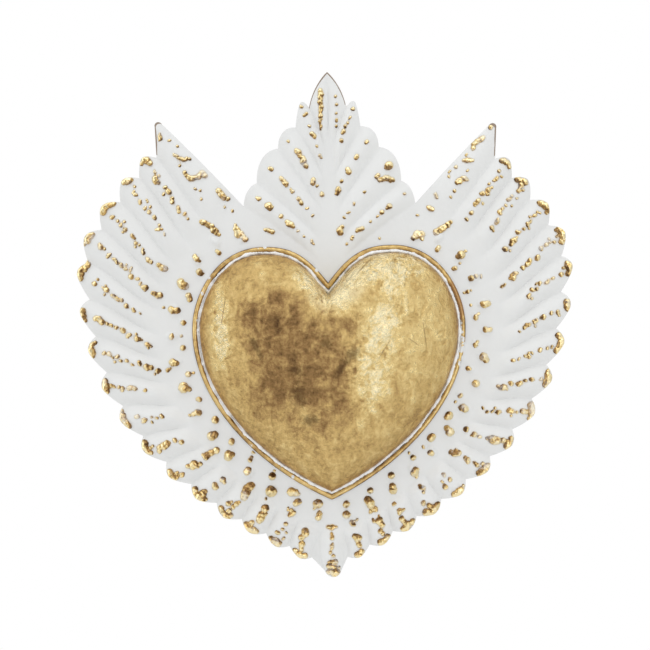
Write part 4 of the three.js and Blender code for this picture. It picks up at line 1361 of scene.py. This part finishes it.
DOME_RINGS = 60
DOME_STEPS = 110

# Noise above this level leaves the shell smooth, and below it is a dent
DENT_LEVEL = 0.6


def dome_net():
    """Rings of the dome from its centre to its foot, and how high each point has risen, from 0 to 1."""
    loop = heart_loop(-(BEAD_WIDTH + GROOVE_WIDTH), DOME_STEPS)
    centre = np.array([0.0, -DOME_CENTRE_DROP])
    reach = np.linalg.norm(loop - centre, axis=1)
    rings, rises = [], []
    for r in range(DOME_RINGS):
        share = math.cos(r / DOME_RINGS * math.pi / 2)
        roundness = (1 - share) ** DOME_ROUNDING_EASE
        even = 1 + (HEART_HALF_WIDTH / reach - 1) * DOME_ROUNDING * roundness
        rise = (1 - share ** DOME_EDGE_POWER) ** DOME_FULLNESS
        flat = centre + (loop - centre) * (share * even)[:, None]
        rings.append(on_plate(flat, -(DOME_FOOT_HEIGHT + (DOME_HEIGHT - DOME_FOOT_HEIGHT) * rise)))
        rises.append(np.full(len(loop), rise))
    rings.insert(0, on_plate(loop, 0.0))
    rises.insert(0, np.zeros(len(loop)))
    top = on_plate(centre[None], -DOME_HEIGHT)
    return np.concatenate([*rings, top]), np.concatenate([*rises, [1.0]]), len(rings), len(loop)


def hammer(shell):
    """Dents the dome softly, more towards its middle."""
    tree = GeometryTree(
        "hammered_shell", dent_height=0.7, dent_size=17.0, ripple_height=0.22, ripple_size=5.0)
    fade = tree.attribute("rise").smooth(0.1, 0.7)
    dents = sum((tree.noise(f"{name}_size")[0] - DENT_LEVEL) * tree.size(f"{name}_height")
                for name in ("dent", "ripple"))
    height = (dents * fade).maths("MINIMUM", 0.0)
    tree.move(Offset=tree.combined(Y=height * -MM))
    return tree.apply(shell, FINISH["dome"])


def make_dome():
    points, rises, rings, count = dome_net()
    index = np.arange(rings * count).reshape(rings, count)
    after = np.roll(index, -1, axis=1)
    walls = np.stack([index[1:], after[1:], after[:-1], index[:-1]], axis=-1).reshape(-1, 4)
    top = [(rings * count, j, i) for i, j in zip(index[-1], after[-1])]
    dome = mesh_object("gilt_heart", points, [*walls, *top], {"rise": rises})
    hammer(dome)
    shell = dome.modifiers.new("shell", "SOLIDIFY")
    shell.thickness = SHELL_THICKNESS * MM
    shell.offset = -1
    return round_off(settle(dome), degrees=60)


# What runs along a line: the bead, the paint in its groove, the solder and the ring

# Paint in the groove: how far apart its spots lie, and over what length it swells, sways, parts and breaks
PAINT_PITCH = 0.5
PAINT_RUNS = (4, 9, 22, 7)
PAINT_RADII = (1.12, 0.66)
SMALLEST_PAINT = 0.56
PAINT_SWELL = 0.22
PAINT_SWAY = 0.28
PAINT_HALVES_APART = 0.7
PAINT_PARTS_ABOVE = 0.75
PAINT_BREAKS_ABOVE = 1.9
PAINT_STRAY = 0.08
GROOVE_STEPS = 420


def draw_out(line, finish, whole, **sizes):
    """Sweeps a half or whole round section along a line drawn flat, stands it up and roughens it."""
    tree = GeometryTree(f"sweep_{finish.name}", **sizes)
    curve = tree.put("GeometryNodeMeshToCurve", {"Mesh": tree.geometry})
    upright = tree.put("GeometryNodeSetCurveNormal", {"Curve": curve.outputs[0]}, mode="Z_UP")
    if whole:
        section = tree.put("GeometryNodeCurvePrimitiveCircle", {"Resolution": WIRE_SIDES, "Radius": MM})
    else:
        section = tree.put("GeometryNodeCurveArc", {
            "Resolution": WIRE_SIDES + 1, "Radius": MM, "Start Angle": 0.0, "Sweep Angle": math.pi,
            "Connect Center": True}, mode="RADIUS")
    reach = tree.combined(X=tree.size("width") * 0.5, Y=tree.size("height") * -1, Z=1.0)
    shaped = tree.put("GeometryNodeTransform", {"Geometry": section.outputs["Curve"], "Scale": reach})
    swept = tree.put("GeometryNodeCurveToMesh", {
        "Curve": upright.outputs[0], "Profile Curve": shaped.outputs[0], "Fill Caps": True})
    tree.geometry = swept.outputs[0]
    normal = tree.put("GeometryNodeInputNormal").outputs[0]
    ripple, _ = tree.noise("ripple_size", 3.0)
    tree.move(Offset=tree.vector("SCALE", normal, Scale=(ripple - 0.5) * tree.size("ripple") * MM))
    stood = tree.put("GeometryNodeTransform", {
        "Geometry": tree.geometry, "Rotation": (math.radians(90), 0, 0),
        "Translation": tree.combined(Y=tree.size("depth") * MM, Z=tree.size("lift") * MM)})
    tree.geometry = stood.outputs[0]
    return tree.apply(line, finish)


def sweep(name, line, closed, finish, whole=False, **sizes):
    """A piece swept along a line of points x, z. Its height stands towards the front."""
    sizes = dict(ripple=0.0, ripple_size=4.0, depth=PLATE_FRONT, lift=WIDEST_LINE) | sizes
    count = len(line)
    edges = [(i, (i + 1) % count) for i in range(count if closed else count - 1)]
    piece = mesh_object(name, [(x, z, 0) for x, z in line], edges=edges)
    draw_out(piece, finish, whole, **sizes)
    merge_close(piece, SAME_POINT, outwards=True)
    return round_off(piece, degrees=50)


def opened_loop(distance, at, gap):
    """The loop round the heart as an open line, with its gap at a share of the left half."""
    half = heart_offset(distance)
    count = int(half.total / SWEEP_PITCH)
    half_gap = gap / 2 / half.total
    right = half.at(np.linspace(0, 1, count))
    start = half.at(np.linspace(at - half_gap, 0, int(count * at))) * (-1, 1)
    end = half.at(np.linspace(1, at + half_gap, int(count * (1 - at)))) * (-1, 1)
    return np.concatenate([start[:-1], right[:-1], end])


def make_bead():
    line = opened_loop(-BEAD_WIDTH / 2, BEAD_JOINT_AT, BEAD_JOINT_GAP)
    return sweep("heart_wire", line, False, FINISH["wire"], width=BEAD_WIDTH, height=BEAD_HEIGHT,
                 ripple=0.22, ripple_size=6.0)


def drifting(chance, count, knots):
    """Smooth random values round a closed line, about one either way."""
    values = chance.normal(0, 1, knots)
    return np.interp(np.arange(count) * knots / count, np.arange(knots + 1), [*values, values[0]])


def groove_spots():
    """Thick paint in the groove: an uneven strand that parts in two in places and breaks here and there."""
    chance = np.random.default_rng(GROOVE_SEED)
    strand = Line(heart_loop(-(BEAD_WIDTH + GROOVE_WIDTH * 0.5), GROOVE_STEPS))
    count = int(strand.total / PAINT_PITCH)
    share = np.arange(count) / count
    ahead = strand.heading_at(share)
    aside = np.stack([-ahead[:, 1], ahead[:, 0]], axis=1)
    places = strand.at(share)
    swell, sway, split, broken = (drifting(chance, count, int(strand.total / run)) for run in PAINT_RUNS)
    spots = []
    for i in range(count):
        if broken[i] > PAINT_BREAKS_ABOVE:
            continue
        ways = (-PAINT_HALVES_APART, PAINT_HALVES_APART) if split[i] > PAINT_PARTS_ABOVE else (0.0,)
        for way in ways:
            radius = PAINT_RADII[way != 0] + PAINT_SWELL * swell[i] + chance.normal(0, PAINT_STRAY)
            x, z = places[i] + aside[i] * (way + PAINT_SWAY * sway[i])
            spots.append((x, z, max(radius, SMALLEST_PAINT)))
    return np.array(spots)


def make_groove_paint(plate):
    return make_lumps("groove_paint", groove_spots(), plate, FINISH["groove"],
                      grain=0.36, height=1.65, uneven=0.7, uneven_size=2.4, ragged=1.4)


# Hanger

PIVOT_DEPTH = SHEET_THICKNESS + PIVOT_CLEARANCE + RING_WIRE / 2
SOLDER_WIDTH = 1.5
SOLDER_HEIGHT = 0.55
SOLDER_START = 1.2
SOLDER_PITCH = 0.35
BOW_STEPS = 40
RING_POINTS = 160


def arc(x, y, radius, start, end, steps=8):
    turn = np.radians(np.linspace(start, end, steps + 1))
    return [(x + radius * math.cos(t), y + radius * math.sin(t)) for t in turn]


def extruded(name, section, half_length, finish, bevel):
    """A section of points along, depth, drawn out across x and softened along its edges."""
    count = len(section)
    points = [(x, depth, along) for x in (-half_length, half_length) for along, depth in section]
    walls = [(i, j, count + j, count + i) for i, j in zip(range(count), [*range(1, count), 0])]
    piece = mesh_object(name, points, [*walls, range(count)[::-1], range(count, 2 * count)])
    merge_close(piece, SAME_POINT, outwards=True)
    piece.data.materials.append(finish)
    soft = piece.modifiers.new("soft", "BEVEL")
    soft.width = bevel * MM
    soft.segments = 3
    soft.limit_method = "ANGLE"
    soft.angle_limit = math.radians(40)
    return round_off(settle(piece), degrees=40)


def make_strap():
    """The bent strip over the ring's bar. Its depth counts from the pivot, the part's origin."""
    inner = RING_WIRE / 2 + PIVOT_CLEARANCE
    outer = inner + STRAP_THICKNESS
    outer_bend = STRAP_BEND + STRAP_THICKNESS
    corner = inner - STRAP_BEND
    foot = SHEET_THICKNESS - PIVOT_DEPTH
    leg_top = foot + STRAP_THICKNESS
    end = outer + STRAP_LEG
    section = [(-end, foot), (-inner, foot), *arc(-corner, corner, STRAP_BEND, 180, 90),
               *arc(corner, corner, STRAP_BEND, 90, 0), (inner, foot), (end, foot), (end, leg_top),
               (outer, leg_top), *arc(corner, corner, outer_bend, 0, 90),
               *arc(-corner, corner, outer_bend, 90, 180), (-outer, leg_top), (-end, leg_top)]
    return extruded("ring_strap", section, STRAP_WIDTH / 2, FINISH["hanger"], bevel=0.16)


def make_solder():
    """A fillet of solder round three sides of each of the strap's legs."""
    outer = RING_WIRE / 2 + PIVOT_CLEARANCE + STRAP_THICKNESS
    start, end, side = outer + SOLDER_START, outer + STRAP_LEG, STRAP_WIDTH / 2
    seams = []
    for way, name in ((1, "solder_upper"), (-1, "solder_lower")):
        line = Line(np.array([(-side, start), (-side, end), (side, end), (side, start)]) * (1, way))
        line = line.at(np.linspace(0, 1, int(line.total / SOLDER_PITCH)))
        seams.append(sweep(name, line, False, FINISH["solder"], width=SOLDER_WIDTH, height=-SOLDER_HEIGHT,
                           depth=SHEET_THICKNESS - PIVOT_DEPTH, lift=0.0, ripple=0.3, ripple_size=2.2))
    return seams


def make_ring():
    """A D of round wire with its bar on the pivot, hanging down."""
    half, corner = RING_WIDTH / 2, RING_CORNER
    line = [(0, 0), *arc(half - corner, -corner, corner, 90, 0),
            *arc(0, half - RING_HEIGHT, half, 0, -180, BOW_STEPS),
            *arc(corner - half, -corner, corner, 180, 90)]
    points = Line(np.array([*line, line[0]])).at(np.linspace(0, 1, RING_POINTS, endpoint=False))
    return sweep("wire_ring", points, True, FINISH["hanger"], whole=True, width=RING_WIRE,
                 height=RING_WIRE / 2, depth=0.0, lift=0.0)


def make_tabs():
    """The heart's clinch tabs: through their slots and bent over behind, one bent strip set at each slot."""
    half = SHELL_THICKNESS / 2
    back = SHEET_THICKNESS + SHELL_THICKNESS
    section = [(-half, -DOME_FOOT_HEIGHT), (half, -DOME_FOOT_HEIGHT), (half, SHEET_THICKNESS),
               (half + TAB_FOOT, SHEET_THICKNESS), (half + TAB_FOOT, back),
               *arc(TAB_BEND - half, back - TAB_BEND, TAB_BEND, 90, 180)]
    strip = extruded("tab_strip", section, TAB_WIDTH / 2, FINISH["back"], bevel=0.14)
    places, _, inwards = (np.array(values) for values in zip(*tab_frames()))
    tabs = mesh_object("clinch_tabs", on_plate(places), attributes={"turn": np.arctan2(*inwards.T)})
    tree = GeometryTree("set_tabs")
    info = tree.put("GeometryNodeObjectInfo", {"Object": strip}, transform_space="ORIGINAL")
    rotation = tree.put("FunctionNodeEulerToRotation", {"Euler": tree.combined(Y=tree.attribute("turn"))})
    set_in = tree.put("GeometryNodeInstanceOnPoints", {
        "Points": tree.geometry, "Instance": info.outputs["Geometry"], "Rotation": rotation.outputs[0]})
    tree.geometry = set_in.outputs[0]
    round_off(tree.apply(tabs, FINISH["back"]), degrees=40)
    mesh = strip.data
    bpy.data.objects.remove(strip)
    bpy.data.meshes.remove(mesh)
    return tabs


# Floor, camera and light

CAMERA_DISTANCE = 1600.0
VIEW_WIDTH = 384.6
VIEW_CENTRE = (-2.3, -11.9)
VIEW_ROLL = 1.0

# How bright the room's light is in front, at the sides and above, and how much dimmer below
FRONT_GLOW = 0.37
SIDE_GLOW = 0.31
TOP_GLOW = 0.47
FLOOR_SHADE = 0.21
COOL_LIGHT = (0.97, 0.985, 1, 1)

# Soft boxes that face the heart: place, size and radiance
LAMPS = (("top_box", (0, -500, 1400), (1500, 700), 1.35), ("right_box", (500, -1250, 60), (460, 1300), 2.1),
         ("left_box", (-1250, -480, 200), (700, 1300), 1.05))
FLOOR_HALF = 5000
FLOOR_LEVEL = -900


def make_camera():
    data = bpy.data.cameras.new("camera")
    data.sensor_width = 36.0
    data.lens = data.sensor_width * CAMERA_DISTANCE / VIEW_WIDTH
    camera = linked("camera", data)
    camera.location = Vector((VIEW_CENTRE[0], PLATE_FRONT - CAMERA_DISTANCE, VIEW_CENTRE[1])) * MM
    camera.rotation_euler = Euler((math.radians(90), math.radians(VIEW_ROLL), 0))
    bpy.context.scene.camera = camera


def make_lamps():
    for name, place, size, glow in LAMPS:
        data = bpy.data.lights.new(name, "AREA")
        data.shape = "RECTANGLE"
        data.size, data.size_y = (side * MM for side in size)
        data.energy = glow * math.pi * data.size * data.size_y
        lamp = linked(name, data)
        lamp.location = Vector(place) * MM
        lamp.rotation_euler = (-lamp.location).to_track_quat("-Z", "Y").to_euler()
        lamp.visible_camera = False


def make_world():
    """White to the eye. As light it is bright above and at the sides, and dimmer in front and below."""
    world = bpy.data.worlds.new("studio")
    bpy.context.scene.world = world
    world.use_nodes = True
    world.node_tree.nodes.clear()
    tree = Tree(world.node_tree)
    x, _, z = tree.parts(tree.put("ShaderNodeTexCoord").outputs["Generated"])
    sides = x.maths("ABSOLUTE").smooth(0.25, 0.95, 0.0, SIDE_GLOW)
    above = z.smooth(0.0, 0.75, 0.0, TOP_GLOW)
    below = z.smooth(-0.7, 0.0, -FLOOR_SHADE, 0.0)
    seen = tree.put("ShaderNodeBackground", {"Color": (1, 1, 1, 1), "Strength": 1.0})
    felt = tree.put("ShaderNodeBackground", {
        "Color": COOL_LIGHT, "Strength": sides + above + below + FRONT_GLOW})
    path = tree.put("ShaderNodeLightPath").outputs["Is Camera Ray"]
    both = tree.put("ShaderNodeMixShader", {0: path, 1: felt.outputs[0], 2: seen.outputs[0]})
    tree.put("ShaderNodeOutputWorld", {"Surface": both.outputs[0]})


def make_floor():
    corners = [(x * FLOOR_HALF, y * FLOOR_HALF, FLOOR_LEVEL) for x, y in ((-1, -1), (1, -1), (1, 1), (-1, 1))]
    floor = mesh_object("pale_floor", corners, [range(4)])
    floor.data.materials.append(MaterialTree("pale_floor").set(base_color=(0.9, 0.9, 0.9), roughness=0.8))


make_camera()
make_world()
make_floor()
make_lamps()


def fit(piece, body, slot, *nodes):
    """Puts a piece on its body, standing for the named nodes. The slot is not used."""
    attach(piece, body)
    if nodes:
        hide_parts(*nodes)


embossed_plate = make_plate()
fit(embossed_plate, "plate", "white_paint", "ray_plate")
fit(make_lumps("rib_gilding", RIB_SPOTS, embossed_plate, FINISH["lumps"]), "plate", "gilding")
fit(make_lumps("boss_gilding", BOSS_SPOTS, embossed_plate, FINISH["lumps"], height=0.6), "plate", "gilding")
fit(make_dome(), "plate", "gilding", "heart_shell")
fit(make_tabs(), "plate", "gilding", "heart_shell")
fit(make_bead(), "plate", "gilding", "heart_bead")
fit(make_groove_paint(embossed_plate), "plate", "white_paint")
fit(make_strap(), "plate", "hanger_metal", "hanger_strap")
for seam in make_solder():
    fit(seam, "plate", "hanger_metal")
fit(make_ring(), "ring", "hanger_metal", "hanging_ring")
bpy.context.scene.view_settings.view_transform = "Standard"
